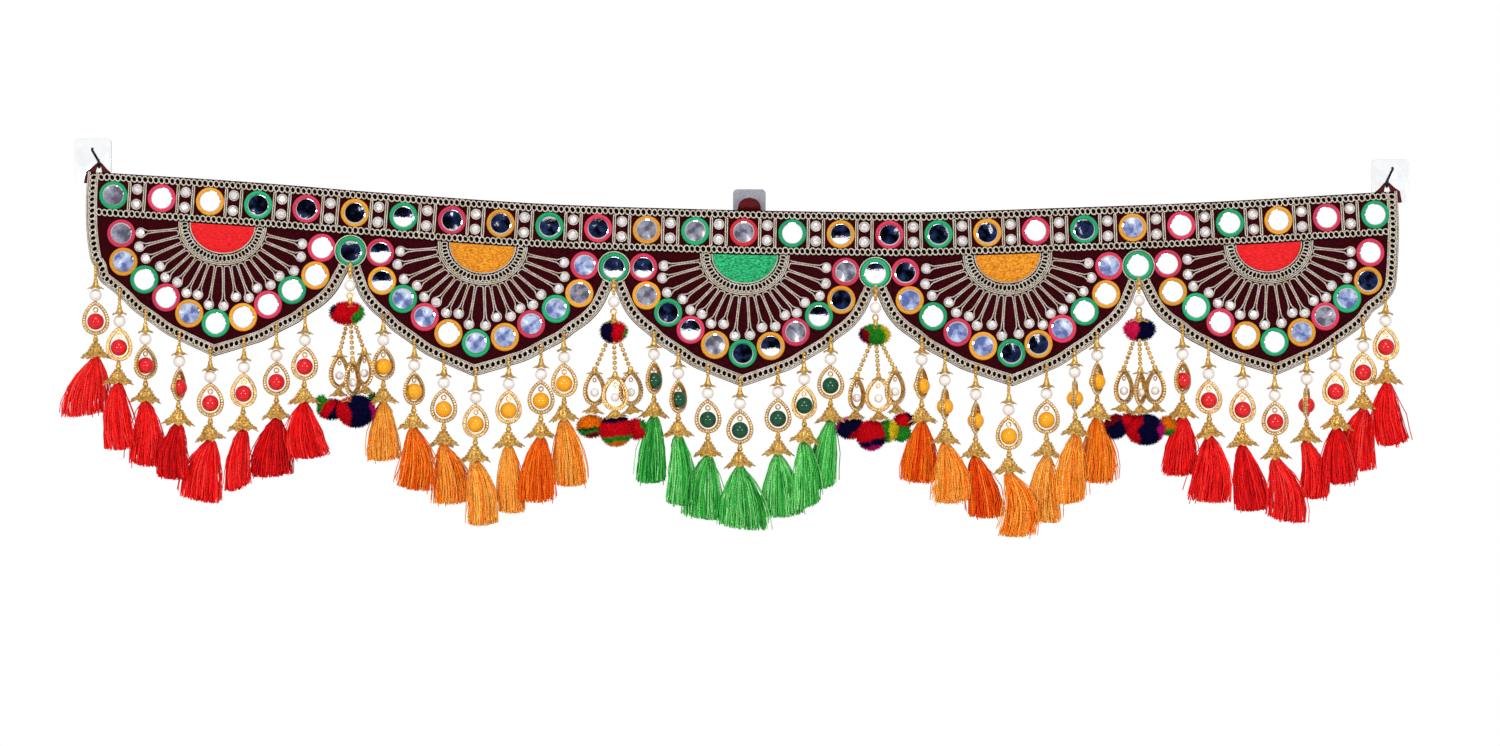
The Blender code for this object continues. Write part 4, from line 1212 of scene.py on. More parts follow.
def clusterHead(number):
    u = scallopMiddle(number - 1) + cloth["pitch"] / 2
    x, _, z = hung(u, mirrors["junctionV"], 0.0) / mm
    y = hung(u, cloth["gapTop"], cloth["braidFront"])[1] / mm - clusters["gap"] - clusters["depth"]
    return x, y, z


def allTeardrops():
    # (middle of the teardrop, cluster head, side, forward, drop, turn) of every pendant
    for number, rows in clusters["teardrops"].items():
        x, y, z = clusterHead(number)
        for (side, drop, turn), forward in zip(rows, clusters["forward"]):
            yield (x + side, y + forward, z - drop), (x, y, z), side, forward, drop, math.radians(turn)


def ballProfile(rings):
    angles = np.linspace(0, math.pi, rings)
    return [(math.sin(a) if 0 < a < math.pi else 0.0, math.cos(a)) for a in angles]


def makeBalls():
    # every round bead: gilt seeds, pearls and the coloured beads in the drops
    seeds, pearls, beads, dyes = [], [], [], []
    for scallop, row in allStrings:
        top = edgeBelow(row[0])[0] + findings["stemRise"] - row[1]
        for height in np.arange(findings["cup"] + findings["stemStart"], top, findings["seedPitch"]):
            seeds.append((*stringSpot(row, height), findings["seed"]))
        for height, radius in findings["neck"]:
            seeds.append((*stringSpot(row, height), radius))
        for spots, key in ((pearls, "pearl"), (beads, "bead")):
            spots.append((*stringSpot(row, findings[key][0]), findings[key][1]))
        dyes.append(colour(findings["beadDyes"][cloth["dyes"][scallop - 1]]))
    for number in clusters["teardrops"]:
        x, y, z = clusterHead(number)
        seeds += [(x, y, z - drop, radius) for drop, radius in clusters["seeds"]]
        pearls.append((x, y, z - clusters["pearl"][0], clusters["pearl"][1]))
    start, end, pitch = clusters["chain"]
    first, (above, below) = clusters["chainShare"], clusters["chainBeads"]
    high = findings["drop"][2] * clusters["dropScale"]
    for (dropX, dropY, dropZ), (x, y, z), side, forward, drop, _ in allTeardrops():
        for step in np.arange(start, end, pitch):
            share = first + (step - start) / (end - start) * (1 - first)
            low = step + (drop - high - end) * share
            seeds.append((x + side * share, y + forward * share, z - low, pitch * clusters["chainSeed"]))
        for rise in (high + above, -high - below):
            seeds.append((dropX, dropY, dropZ + rise, clusters["chainBead"]))
        lower, radius = clusters["dropPearl"]
        pearls.append((dropX, dropY, dropZ - lower, radius))
    rng = np.random.default_rng(3)
    ball = turned("ballShape", ballProfile(11), 18)
    small = turned("seedShape", ballProfile(6), 8)
    for name, template, rows, finish, extra in (
        ("giltSeeds", small, seeds, "gilt", {}),
        ("pearls", ball, pearls, "pearl", {}),
        ("dropBeads", ball, beads, "bead", {"dye": np.array(dyes)}),
    ):
        rows = np.array(rows)
        turns = rng.uniform(0, 3.1, (len(rows), 3))
        wear(scatter(name, template, rows[:, :3] * mm, turns, rows[:, 3], finish, **extra), finish)


def dropLine(inset, count):
    # a teardrop in the front plane, rounded below and narrow above
    _, wide, high = findings["drop"]
    t = np.linspace(0, 2 * np.pi, count, endpoint=False)
    x = np.sin(t) * np.sin(t / 2) ** findings["point"]
    x = x / np.abs(x).max() * (wide - inset)
    return np.stack([x, np.zeros(count), np.cos(t) * (high - inset)], axis=-1)


def makeBand():
    # a teardrop's inner band, a flange behind its grains and a fine wire round the outside; the wire and the
    # flange are painted shade, a dark outline and dark gaps between the grains
    inner, outer = dropLine(2 * findings["rim"], 30), dropLine(0.0, 30)
    count = len(inner)
    parts = []
    # the flange, in the darker gilding, shows as dark gaps between the grains: painted shade
    for wall, (share, deep) in ((inner, findings["band"]), (outer, findings["flange"])):
        near, off = inner * share, np.array((0.0, deep, 0.0))
        rings = [near - off, wall - off, wall + off, near + off]
        faces = []
        for ring in range(4):
            start, after = ring * count, (ring + 1) % 4 * count
            for step in range(count):
                follow = (step + 1) % count
                faces.append([start + step, start + follow, after + follow, after + step])
        parts.append(newObject("bandShape", closedMesh("bandShape", np.concatenate(rings) * mm, faces)))
    # the wire is a dark outline that stands for the shade along the teardrop's edge: painted shade
    parts.append(cords("wireShape", [outer * mm], findings["wire"], 4, "gilt", closed=True))
    return merged("dropBandShape", parts)


def makeGrainBall():
    grain = bmesh.new()
    bmesh.ops.create_icosphere(grain, subdivisions=1, radius=mm)
    mesh = bpy.data.meshes.new("grainShape")
    grain.to_mesh(mesh)
    grain.free()
    return newObject("grainShape", mesh)


def makeRim(grain):
    # flattened grains set close together round a teardrop
    rim = dropLine(findings["rim"], 400)
    lengths = np.r_[0, np.cumsum(np.linalg.norm(np.diff(rim, axis=0), axis=1))]
    wanted = np.linspace(0, lengths[-1], findings["grains"], endpoint=False)
    spots = np.stack([np.interp(wanted, lengths, rim[:, k]) for k in range(3)], axis=-1)
    along = np.roll(spots, -1, axis=0) - np.roll(spots, 1, axis=0)
    turns = np.zeros((len(spots), 3))
    turns[:, 1] = np.arctan2(-along[:, 2], along[:, 0])
    return scatter("rimShape", grain, spots * mm, turns, np.array([findings["grain"]]), "paleGilt")


bellCap = {
    # the skirt's profile, down its outside and up its inside: (radius, height)
    "profile": (
        (1.3, 12.4), (2.3, 11.6), (3.4, 9.9), (5.0, 7.6), (6.2, 5.2), (8.0, 3.4), (10.1, 2.3),
        (11.2, 1.2), (10.9, 0.6), (7.8, 1.9), (5.4, 3.0), (3.0, 7.6), (1.0, 11.4),
    ),
    "sides": 32,
    # petals: from which radius and over how far they grow, how many, how far out and down they go
    "petals": (5.0, 6.0, 8, 0.08, 1.2),
    # a slower wave over the petals, and ribs from a radius on
    "waver": (3, 0.35),
    "ribs": (16, 0.05, 3.0),
    # rows of grains: (radius, height, count)
    "rows": ((2.9, 10.9, 8), (4.3, 8.7, 11), (5.7, 6.4, 13), (7.2, 4.3, 15)),
    "grain": 0.85,
}
beadCup = {
    "profile": (
        (0.9, 7.2), (1.6, 6.8), (1.7, 5.0), (2.3, 3.0), (3.3, 1.4), (5.8, 0.4),
        (5.6, -0.1), (3.0, 0.6), (1.4, 2.6), (0.7, 6.2),
    ),
    "sides": 24,
    "petals": (2.5, 3.2, 6, 0.12, 0.7),
    "waver": (0, 0.0),
    "ribs": (0, 0.0, 0.0),
}


def makeFlared(name, form):
    # a small flared piece with a rim of drooping petals
    start, over, count, out, down = form["petals"]
    slow, waver = form["waver"]
    ribs, ribHigh, ribStart = form["ribs"]

    def petals(angle, radius, height):
        share = max(0.0, (radius - start) / over)
        wave = math.cos(angle * count) + waver * math.cos(angle * slow + 1)
        rib = ribHigh * math.cos(angle * ribs) if radius > ribStart else 0.0
        return radius * (1 + rib + out * share * wave), height - down * share * wave

    return turned(name, form["profile"], form["sides"], ripple=petals, closed=True)


def makeCap(grain):
    # a bell cap: a ribbed skirt with rows of grains
    spots = []
    for radius, height, count in bellCap["rows"]:
        for step in range(count):
            angle = 2 * math.pi * (step + 0.5 * (count % 2)) / count
            spots.append((radius * math.cos(angle), radius * math.sin(angle), height))
    rows = scatter("capGrains", grain, np.array(spots) * mm, (0, 0, 0), [bellCap["grain"]], "gilt")
    return merged("capShape", [makeFlared("coneShape", bellCap), rows])


def makeGilt():
    # every finding is a row: its place, its turn and its size
    rng = np.random.default_rng(17)
    drops, caps, cups, pins = [], [], [], []
    scale, lean = clusters["dropScale"], clusters["cupTurn"]
    for _, row in allStrings:
        turn, roll, tilt = (rng.uniform(-most, most) for most in findings["uneven"])
        turn, spin = math.radians(row[5]) + turn, rng.uniform(0, 6.28)
        drops.append((*stringSpot(row, findings["drop"][0]), 0, roll, turn, 1, 1, 1))
        pins.append((*stringSpot(row, findings["pin"][0]), 0, 0, turn, *[findings["pin"][1]] * 3))
        caps.append((*stringSpot(row, findings["cap"]), tilt, tilt, spin, *findings["capSize"]))
        cups.append((*stringSpot(row, findings["cup"]), tilt, -tilt, spin, 1, 1, 1))
    for number in clusters["teardrops"]:
        x, y, z = clusterHead(number)
        eye, radius = clusters["eye"]
        size = clusters["cupSizes"][number]
        pins.append((x, y, z - eye, 0, 0, lean, radius, radius, radius))
        cups.append((x, y, z - clusters["cup"], 0, 0, lean, size, size, 1.0))
    (cupDrop, cupSize), (capDrop, capSize) = clusters["smallCup"], clusters["flower"]
    pinRise, radius = clusters["pin"]
    for (x, y, z), head, side, _, _, turn in allTeardrops():
        drops.append((x, y, z, 0, 0, turn, scale, 1.0, scale))
        pins.append((x, y, z + pinRise, 0, 0, turn, radius, radius, radius))
        top = z + findings["drop"][2] * scale
        cups.append((x, y, top - cupDrop, 0, 0, rng.uniform(0, 6.28), *cupSize))
        tilt = rng.uniform(-clusters["flowerTilt"], clusters["flowerTilt"])
        spot = (head[0] + side * clusters["flowerOut"], y, z - capDrop)
        caps.append((*spot, 0, tilt, rng.uniform(0, 6.28), *capSize))
    grain = makeGrainBall()
    pin = cords("pinShape", [uprightRing(1.0, 1.0, 12)], findings["pinWire"], 6, "gilt", closed=True)
    for name, rows, template, finish in (
        # the bands wear the darker gilding: painted shade along the outline and between the grains
        ("dropBands", drops, makeBand(), "darkGiltAndShade"),
        ("dropRims", drops, makeRim(grain), "paleGilt"),
        ("bellCaps", caps, makeCap(grain), "gilt"),
        ("beadCups", cups, makeFlared("cupShape", beadCup), "gilt"),
        ("pinRings", pins, pin, "gilt"),
    ):
        rows = np.array(rows)
        piece = scatter(name, template, rows[:, :3] * mm, rows[:, 3:6], rows[:, 6:], finish)
        piece.data.set_sharp_from_angle(angle=math.radians(findings["sharp"]))
        wear(piece, "gilt")


makeBalls()
makeGilt()
print("beads and findings made")

# Tassels: loose viscose threads that fan out below a bound head

tassels = {
    "threads": 285,
    "places": (0.0, 0.1, 0.27, 0.52, 0.78, 1.0),
    "thread": 0.42,
    "thin": 0.8,
    # each thread's angle from the one before it, and how uneven that is
    "angle": (2.39996, 0.2),
    "head": (4.3, 3.4),
    "headTop": 3.0,
    "headRound": 4.0,
    "footDepth": 4.6,
    "footRound": 2.0,
    "footSpread": (0.92, 1.12),
    "footUneven": (0.8, 0.4),
    "bulge": 2.1,
    "bend": 0.7,
    "kink": 0.4,
    "sway": 1.6,
    "slant": 1.8,
    "ragged": 3.0,
    "strays": 24,
    "strayOut": (0.8, 4.5),
    "strayUp": (-2.5, 6.0),
    # dark, middle and light dye
    "dyes": {
        "red": ("#b60006", "#ff1014", "#ff5348"),
        "orange": ("#f04800", "#ff8a14", "#ffc258"),
        "green": ("#0c6a1e", "#45c850", "#b8ffae"),
    },
    # how light each tassel is, from 0 to 1, and how uneven its threads are
    "tones": {
        1: (0.55, 0.55, 0.55, 0.25, 0.5, 0.45, 0.2, 0.45),
        2: (0.75, 0.3, 0.6, 0.8, 0.75, 0.2, 0.65),
        3: (0.35, 0.45, 0.55, 0.5, 0.55, 0.5, 0.45),
        4: (0.2, 0.7, 0.15, 0.65, 0.8, 0.65, 0.5),
        5: (0.45, 0.5, 0.4, 0.55, 0.5, 0.35, 0.5, 0.45),
    },
    "uneven": 0.2,
}


def tasselLines(row, rng):
    # every thread of one tassel, as points in millimetres
    _, top, lean, spread, length, _, _ = row
    count, places = tassels["threads"], tassels["places"]
    index = np.arange(count)
    reach = np.sqrt((index + 0.5) / count)
    step, uneven = tassels["angle"]
    angle = index * step + rng.uniform(-uneven, uneven, count)
    across, deep = reach * np.cos(angle), reach * np.sin(angle)
    x, y, _ = stringSpot(row, 0.0)
    sway, slant = rng.normal(0, tassels["sway"]), rng.normal(0, tassels["slant"])
    wide, thick = tassels["head"]
    high = top + tassels["headTop"] - tassels["headRound"] * reach**2
    head = np.stack([x + across * wide, y + deep * thick, high], axis=-1)
    side, forward = tassels["footUneven"]
    out = across * spread / 2 * rng.uniform(*tassels["footSpread"], count)
    footX = x + lean + out + rng.normal(0, side, count)
    footY = y + deep * tassels["footDepth"] + rng.normal(0, forward, count)
    footZ = top - length + tassels["footRound"] * across**2 + slant * across
    footZ = footZ + np.abs(rng.normal(0, tassels["ragged"], count))
    foot = np.stack([footX, footY, footZ], axis=-1)
    stray = rng.choice(count, tassels["strays"], replace=False)
    foot[stray, 0] += np.sign(across[stray]) * rng.uniform(*tassels["strayOut"], len(stray))
    foot[stray, 2] += rng.uniform(*tassels["strayUp"], len(stray))
    t = np.array(places)[None, :]
    fan = np.stack([1 - (1 - t) ** tassels["bulge"], t**0.5, t], axis=-1)
    lines = head[:, None, :] + (foot - head)[:, None, :] * fan
    kinks = rng.normal(0, tassels["kink"], (count, len(places), 3)) * (1, 0.5, 0)
    kinks[:, 0] = 0
    bend = rng.normal(0, tassels["bend"], (count, 1)) * np.sin(np.pi * t) ** 2
    lines += kinks
    lines[:, :, 0] += bend + sway * np.sin(np.pi * t)
    return lines


def makeTassels(scallop):
    rng = np.random.default_rng(200 + scallop)
    points, dyeName = len(tassels["places"]), cloth["dyes"][scallop - 1]
    dark, middle, light = (np.array(colour(code)) for code in tassels["dyes"][dyeName])
    lines, dyes = [], []
    for row, tone in zip(strings[scallop], tassels["tones"][scallop]):
        lines += list(tasselLines(row, rng) * mm)
        shade = tone + rng.normal(0, tassels["uneven"], tassels["threads"])
        shade = np.clip(shade, 0, 1)[:, None] * 2
        dye = np.where(shade < 1, dark + (middle - dark) * shade, middle + (light - middle) * (shade - 1))
        dyes.append(np.repeat(dye, points, axis=0))
    thick = np.tile(np.linspace(1.0, tassels["thin"], points), len(lines))
    dyes = np.concatenate(dyes)
    piece = cords(f"tassels{scallop}", lines, tassels["thread"], 3, "viscose", thick=thick, dye=dyes)
    nodes = [f"string_{scallop}_{number + 1}" for number in range(len(strings[scallop]))]
    wear(piece, f"tassel_{dyeName}", *nodes)


for scallopNumber in strings:
    makeTassels(scallopNumber)
print("tassels made")

# Pompoms: cut wool in wedges of several dyes

pompoms = {
    "tuft": (0.42, 2.6, -0.4),
    "core": 1.7,
    "density": 1.55e6,
    # the lower balls are larger, and every ball is a little flat
    "lower": 1.1,
    "flat": 0.88,
    "fine": 8,
    # lumps on a ball: how many, how low it is between them, how high and how narrow they are
    "lumps": (6, 0.96, 0.1, 9),
    "dyes": {
        "n": "#0d0c38",
        "r": "#dc0d1e",
        "g": "#2c9a2a",
        "m": "#d0147c",
        "o": "#f28312",
        "y": "#e3c81f",
        "d": "#8c0a1a",
        "k": "#ea1f5e",
        "b": "#0f3f1c",
    },
    # (side, drop, half width, half height, forward set, angle of the wedges, wedges in that direction)
    "balls": {
        1: (
            (-1.9, 48.1, 14.0, 9.0, 0.0, -16, "nrrrrrgg"),
            (-22.6, 116.0, 4.8, 4.6, 1.0, 0, "gg"),
            (-14.8, 122.6, 9.8, 7.9, 0.5, -30, "grrnn"),
            (5.4, 123.9, 13.8, 11.3, -4.6, 4, "rrrnnnnnm"),
            (17.6, 113.0, 4.2, 3.8, 1.6, 0, "gb"),
        ),
        2: (
            (0.0, 50.2, 11.0, 8.9, 0.0, 0, "nnnnrrrrg"),
            (-17.6, 123.5, 10.4, 8.4, 0.6, -80, "ooobgd"),
            (1.7, 126.6, 12.2, 10.9, -4.6, -82, "nnrrrrggo"),
            (17.4, 125.4, 8.4, 7.6, 0.6, 20, "rrrrg"),
        ),
        3: (
            (-1.0, 47.9, 12.6, 8.4, 0.0, 8, "nddgggggyy"),
            (-19.3, 119.9, 11.0, 8.4, 0.6, -35, "mnnnnrr"),
            (-3.6, 125.9, 11.0, 10.9, -4.6, -78, "rrrrrnnm"),
            (9.2, 122.3, 8.4, 8.0, -2.4, 0, "gggyy"),
            (19.9, 123.5, 7.8, 6.6, 1.0, 0, "gggg"),
            (21.4, 114.2, 7.6, 6.0, 0.6, 10, "rrrn"),
        ),
        4: (
            (0.0, 49.4, 13.2, 8.8, 0.0, -8, "kkkknnnnn"),
            (-18.1, 124.9, 8.6, 9.0, 0.6, -60, "ddnnnn"),
            (-7.8, 121.5, 7.4, 7.0, -1.0, 0, "rrrrd"),
            (4.9, 127.0, 13.6, 11.2, -4.6, -6, "rrrnnnnnmm"),
            (22.4, 123.8, 7.2, 7.2, 0.8, -84, "ooog"),
        ),
    },
}


def woolBall(centre, half, angle, wedges, seed):
    # a lumpy ball with a dye on each of its points
    shape = bmesh.new()
    bmesh.ops.create_icosphere(shape, subdivisions=4 if half[0] > pompoms["fine"] else 3, radius=1.0)
    shape.verts.index_update()
    points = np.array([tuple(vert.co) for vert in shape.verts])
    faces = [[vert.index for vert in face.verts] for face in shape.faces]
    shape.free()
    rng = np.random.default_rng(seed)
    count, low, high, narrow = pompoms["lumps"]
    lumps = rng.normal(size=(count, 3))
    lumps /= np.linalg.norm(lumps, axis=1)[:, None]
    bulge = low + high * np.exp(-((1 - points @ lumps.T) ** 2) * narrow).max(axis=1)
    along = points @ np.array([math.cos(angle), 0.0, math.sin(angle)])
    share = (along + 1) / 2 + 0.04 * np.sin(points[:, 2] * 5 + seed) + 0.03 * np.sin(points[:, 0] * 7)
    wedge = np.clip((share * len(wedges)).astype(int), 0, len(wedges) - 1)
    dyes = np.array([colour(pompoms["dyes"][letter]) for letter in wedges])[wedge]
    return points * bulge[:, None] * (np.array(half) - pompoms["core"]) + np.array(centre), faces, dyes


def makeTuft():
    # a narrow cone of wool
    radius, length, foot = pompoms["tuft"]
    points = [(radius * math.cos(a), radius * math.sin(a), foot) for a in (0.0, 2.094, 4.189)]
    points.append((0.0, 0.0, length))
    faces = [(0, 1, 3), (1, 2, 3), (2, 0, 3), (0, 2, 1)]
    return newObject("tuftShape", closedMesh("tuftShape", np.array(points) * mm, faces))


def makePompoms(number, tuft):
    x, y, z = clusterHead(number)
    points, faces, dyes = [], [], []
    for place, (side, drop, wide, high, forward, angle, wedges) in enumerate(pompoms["balls"][number]):
        wide, high = (size * (pompoms["lower"] if place else 1.0) for size in (wide, high))
        half = (wide, min(wide, high) * pompoms["flat"], high)
        centre = (x + side, y + forward, z - drop)
        ball = woolBall(centre, half, math.radians(angle), wedges, 40 + 7 * number + place)
        faces += [[len(points) + corner for corner in face] for face in ball[1]]
        points += ball[0].tolist()
        dyes += ball[2].tolist()
    mesh = rawMesh(f"pompoms{number}Balls", np.array(points) * mm, faces=faces, dye=dyes)
    inputs = {"Tuft": tuft, "Density": pompoms["density"], "Seed": number, "Finish": finishes["wool"]}
    wear(runTree(f"pompoms{number}", mesh, "pile", inputs), "pompom", f"pompom_cluster_{number}")


woolTuft = makeTuft()
for clusterNumber in clusters["teardrops"]:
    makePompoms(clusterNumber, woolTuft)
print("pompoms made")

# Hooks and ribbon loops

hooks = {
    # name: (u, plate x, plate z, plate width, wire top x, wire top z, wire tip, loop height)
    "left": (8.1, -510.7, 39.5, 28.8, -511.0, 48.0, 3.0, 7.6),
    "centre": (513.3, 0.0, 0.0, 25.4, 0.3, 9.0, 1.2, 9.4),
    "right": (1008.6, 498.8, 23.2, 29.2, 500.2, 33.0, 3.0, 7.4),
}
hookForm = {
    "height": 33.0,
    "thickness": 1.5,
    "corner": 3.5,
    "bevel": 0.4,
    "sharp": 35,
    "wire": 1.0,
    "standOff": 3.0,
    "shoulder": 1.2,
    "bend": 3.1,
    "rest": 4.0,
}
loopForm = {
    "thickness": 1.2,
    "tail": 9.0,
    "half": 11.0,
    "shoulder": 9.9,
    "slot": 1.6,
    "slotFoot": 4.2,
    "gap": 0.3,
    "spacing": 1.6,
    "leastArea": 0.31,
}
foldForm = {
    "half": 8.6,
    "height": 9.7,
    "base": 0.6,
    "front": 4.9,
    "thickness": 0.8,
    "rows": 12,
    "columns": 15,
    "gather": 0.35,
    "edge": 0.35,
    "above": 0.2,
}


def makePlate(name, finish):
    _, plateX, plateZ, width, *_ = hooks[name]
    corner, height = hookForm["corner"], hookForm["height"]
    outline = []
    for quarter, (sideX, sideZ) in enumerate(((1, 1), (-1, 1), (-1, -1), (1, -1))):
        middleX, middleZ = plateX + sideX * (width / 2 - corner), plateZ + sideZ * (height / 2 - corner)
        for step in range(7):
            angle = math.pi / 2 * (quarter + step / 6)
            outline.append((middleX + corner * math.cos(angle), middleZ + corner * math.sin(angle)))
    count = len(outline)
    points = [(x, depth, z) for depth in (0.0, -hookForm["thickness"]) for x, z in outline]
    faces = [list(range(count)), list(range(2 * count - 1, count - 1, -1))]
    for step in range(count):
        after = (step + 1) % count
        faces.append([step, after, count + after, count + step])
    plate = newObject(f"hookPlate{name.title()}", closedMesh("plate", np.array(points) * mm, faces, False))
    bevel = plate.modifiers.new("edge", "BEVEL")
    bevel.width = hookForm["bevel"] * mm
    bevel.segments = 3
    bevel.limit_method = "ANGLE"
    graph = bpy.context.evaluated_depsgraph_get()
    mesh = bpy.data.meshes.new_from_object(plate.evaluated_get(graph))
    plate.modifiers.clear()
    plate.data = mesh
    mesh.shade_smooth()
    mesh.set_sharp_from_angle(angle=math.radians(hookForm["sharp"]))
    mesh.materials.append(finishes[finish])
    wear(plate, "hook_plate", f"wall_hook_{name}")


def makeWire(name):
    u, _, _, _, topX, topZ, tip, _ = hooks[name]
    x, _, z = hung(u, -hookForm["rest"], 0.0) / mm
    bend, off, shoulder = hookForm["bend"], hookForm["standOff"], hookForm["shoulder"]
    low, shoulderZ = z + bend, topZ - shoulder
    line = [(topX, -hookForm["thickness"], topZ), (topX, shoulder / 2 - off, topZ), (topX, -off, shoulderZ)]
    for share in (0.35, 0.7, 1.0):
        line.append((topX + (x - topX) * share, -off, shoulderZ + (low + 1.2 - topZ) * share))
    for angle in np.linspace(0, math.pi, 11)[1:]:
        line.append((x, -off - bend + bend * math.cos(angle), low - bend * math.sin(angle)))
    line.append((x, -off - 2 * bend, low + tip))
    wire = cords(f"hookWire{name.title()}", [np.array(line) * mm], hookForm["wire"], 12, "steel")
    wear(wire, "hook_wire")


def makeLoop(name):
    place, *_, height = hooks[name]
    slotTop = hookForm["rest"] + hookForm["wire"] + loopForm["gap"]
    tail, half, shoulder, slot = (loopForm[key] for key in ("tail", "half", "shoulder", "slot"))
    # the outline's right half, from its top down and up round the slot
    side = [(slot * 0.6, -height), (slot * 1.3, -height + 0.5), (shoulder * 0.62, -height * 0.38)]
    side += [(shoulder, 0.0), (half, tail), (loopForm["slotFoot"], tail)]
    side += [(slot * 1.25, -slotTop + 3.0), (slot * 0.7, -slotTop)]
    outline = np.array([(place + u, v) for u, v in side] + [(place - u, v) for u, v in side[::-1]])

    def folds(flat):
        return 0.12 * np.sin(flat[:, 1] * 1.3 + flat[:, 0] * 0.4)

    back, front = -loopForm["gap"] - loopForm["thickness"], -loopForm["gap"]
    title = name.title()
    piece, area = clothPlate(
        f"ribbonLoop{title}", [outline], back, front, loopForm["spacing"], "ribbon", folds
    )
    wear(piece, "ribbon", f"ribbon_loop_{name}")
    flat = (2 * half * mm, (tail + height) * mm)
    area = max(area, loopForm["leastArea"] * flat[0] * flat[1])
    return piece


def makeFold():
    # the centre loop's front half, gathered over the hook like a small dome
    place = hooks["centre"][0]
    half, height, base, front = (foldForm[key] for key in ("half", "height", "base", "front"))
    rows, columns = foldForm["rows"], foldForm["columns"]
    layers = []
    s = np.linspace(-1, 1, columns)
    for depth in (0.0, -foldForm["thickness"]):
        for t in np.linspace(0, 1, rows):
            wide = half * (1 - t**2.4) ** 0.5 + foldForm["edge"]
            swell = math.sin(min(t / 0.35, 1.0) * math.pi / 2)
            rise = base + (front - base) * swell * (1 - 0.5 * s**2)
            gather = foldForm["gather"] * np.cos(s * 9) * t
            layers.append(hung(place + s * wide, -foldForm["above"] - height * t, rise + gather + depth))
    faces = []
    back = rows * columns
    for row in range(rows - 1):
        for column in range(columns - 1):
            a = row * columns + column
            faces.append([a, a + 1, a + columns + 1, a + columns])
            faces.append([back + a, back + a + columns, back + a + columns + 1, back + a + 1])
    rim = list(range(columns)) + [row * columns + columns - 1 for row in range(1, rows)]
    rim += list(range(back - 2, back - columns - 1, -1)) + [row * columns for row in range(rows - 2, 0, -1)]
    for a, b in zip(rim, rim[1:] + rim[:1]):
        faces.append([a, b, back + b, back + a])
    piece = newObject("ribbonFoldCentre", closedMesh("ribbonFoldCentre", np.concatenate(layers), faces))
    piece.data.materials.append(finishes["ribbon"])
    wear(piece, "ribbon")


for hookName in hooks:
    makePlate(hookName, "grey" if hookName == "centre" else "clear")
    makeWire(hookName)
loops = [makeLoop(hookName) for hookName in hooks]
makeFold()
print("hooks and loops made")

# Camera, floor and light

studio = {
    "floor": (-0.75, 2.0, 0.9),
    # place, size, power and how much of it shows as a highlight
    "lamps": (
        ((-1.35, -2.3, -0.05), 0.55, 14.5, 1.0),
        ((1.35, -2.3, -0.05), 0.55, 14.5, 1.0),
        ((0.0, -2.2, 2.1), 1.4, 30.0, 0.25),
    ),
    "lampAim": (0.0, 0.0, -0.1),
    "room": "#bcbcbc",
    "strength": 1.1,
    # what lies in front, by its slope seen from the hanging: from each slope up, two mixed tones
    "slopes": (-0.4, 0.4),
    "walls": (
        (-0.4, ("#bcbcbc", "#bcbcbc")),
        (-0.27, ("#5f6ea8", "#cbd7f2")),
        (-0.15, ("#5c5a67", "#aba8b7")),
        (-0.05, ("#ffffff", "#ffffff")),
        (0.12, ("#04050a", "#26335c")),
        (0.225, ("#bcbcbc", "#bcbcbc")),
    ),
    # between which values the second tone, the small bright spots and the part in front set in
    "clouds": (34.0, (0.4, 0.62), (0.66, 0.69)),
    "ahead": (0.8, 0.86),
}


def putThere(name, data, spot, turn):
    item = bpy.data.objects.new(name, data)
    scene.collection.objects.link(item)
    item.location = spot
    item.rotation_euler = turn
    return item


def makeCamera():
    data = bpy.data.cameras.new("camera")
    data.lens = view["lens"]
    data.sensor_width = view["sensor"]
    scene.camera = putThere("camera", data, cameraSpot, (math.pi / 2, 0.0, 0.0))


def makeFloor():
    height, wide, deep = studio["floor"]
    points = [(-wide, -deep, height), (wide, -deep, height), (wide, deep, height), (-wide, deep, height)]
    floor = newObject("floor", closedMesh("floor", points, [(0, 1, 2, 3)], False))
    floor.data.materials.append(finishes["floor"])


def makeLamps():
    for spot, size, power, shine in studio["lamps"]:
        data = bpy.data.lights.new("softLamp", "AREA")
        data.shape = "DISK"
        data.size = size
        data.energy = power
        data.specular_factor = shine
        toward = Vector(studio["lampAim"]) - Vector(spot)
        putThere("softLamp", data, spot, toward.to_track_quat("-Z", "Y").to_euler())


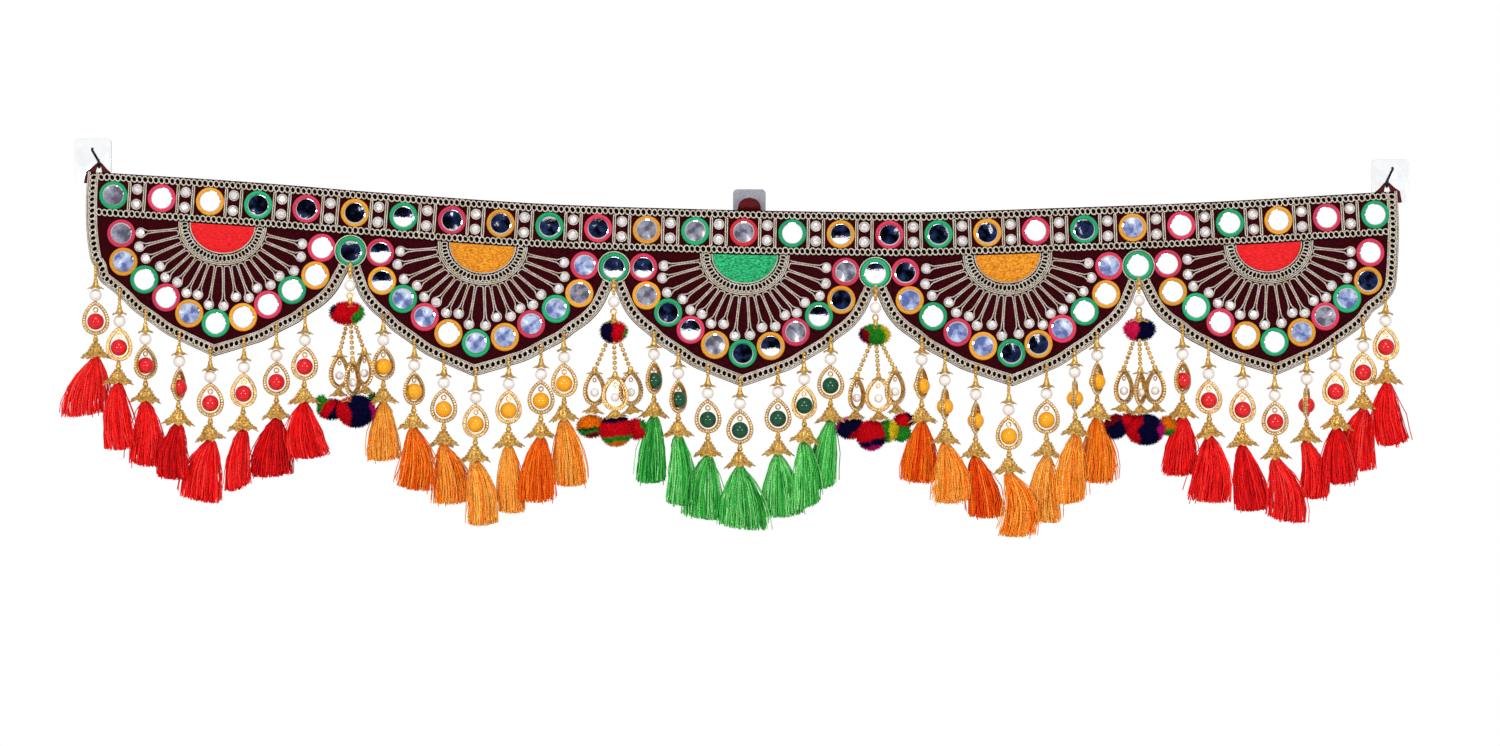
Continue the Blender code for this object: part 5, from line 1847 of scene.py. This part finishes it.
def makeWorld():
    # a white studio; in front of the hanging it has a bright window and the walls that the mirrors catch
    world = bpy.data.worlds.new("studio")
    world.use_nodes = True
    tree = world.node_tree
    tree.nodes.clear()
    toward = addNode(tree, "ShaderNodeTexCoord").outputs["Generated"]
    axes = addNode(tree, "ShaderNodeSeparateXYZ", {"Vector": toward}).outputs
    ahead = addNode(tree, "ShaderNodeMath", {0: axes["Y"], 1: -1.0}, operation="MULTIPLY")
    slope = addNode(tree, "ShaderNodeMath", {0: axes["Z"], 1: ahead}, operation="DIVIDE")
    low, high = studio["slopes"]
    share = addNode(tree, "ShaderNodeMapRange", {"Value": slope, "From Min": low, "From Max": high})
    scale, mixed, bright = studio["clouds"]
    cloud = addNode(tree, "ShaderNodeTexNoise", {"Vector": toward, "Scale": scale, "Detail": 2.0})
    shares = []
    for value, (start, end) in ((cloud, mixed), (cloud, bright), (ahead, studio["ahead"])):
        bounds = {"Value": value, "From Min": start, "From Max": end}
        shares.append(addNode(tree, "ShaderNodeMapRange", bounds))
    tones = []
    for side in (0, 1):
        ramp = addNode(tree, "ShaderNodeValToRGB", {"Fac": share})
        stops = ramp.color_ramp
        stops.interpolation = "CONSTANT"
        stops.elements.remove(stops.elements[1])
        for start, pair in studio["walls"]:
            stop = stops.elements.new((start - low) / (high - low)) if start > low else stops.elements[0]
            stop.color = colour(pair[side])
        tones.append(ramp)
    tone = tones[0]
    for part, first, second in (
        (shares[0], None, tones[1]),
        (shares[1], None, colour("#ffffff")),
        (shares[2], colour(studio["room"]), None),
    ):
        # each share lays one more layer over the tone, and the last one keeps it in front
        pair = {"Factor": part, 6: first or tone, 7: second or tone}
        tone = addNode(tree, "ShaderNodeMix", pair, data_type="RGBA").outputs[2]
    room = addNode(tree, "ShaderNodeBackground", {"Color": tone, "Strength": studio["strength"]})
    backdrop = addNode(tree, "ShaderNodeBackground", {"Color": (1.0, 1.0, 1.0, 1.0), "Strength": 1.0})
    path = addNode(tree, "ShaderNodeLightPath").outputs
    seen = {0: path["Is Camera Ray"], 1: path["Is Transmission Ray"]}
    plain = addNode(tree, "ShaderNodeMath", seen, operation="MAXIMUM")
    both = addNode(tree, "ShaderNodeMixShader", {0: plain, 1: room, 2: backdrop})
    addNode(tree, "ShaderNodeOutputWorld", {"Surface": both})
    scene.world = world


# the small shapes that were copied aren't needed any more
for shape in [item for item in scene.objects if item.name.endswith("Shape")]:
    bpy.data.objects.remove(shape)
makeCamera()
makeFloor()
makeLamps()
makeWorld()
scene.view_settings.view_transform = "Standard"
scene.cycles.use_denoising = True
print("studio made")
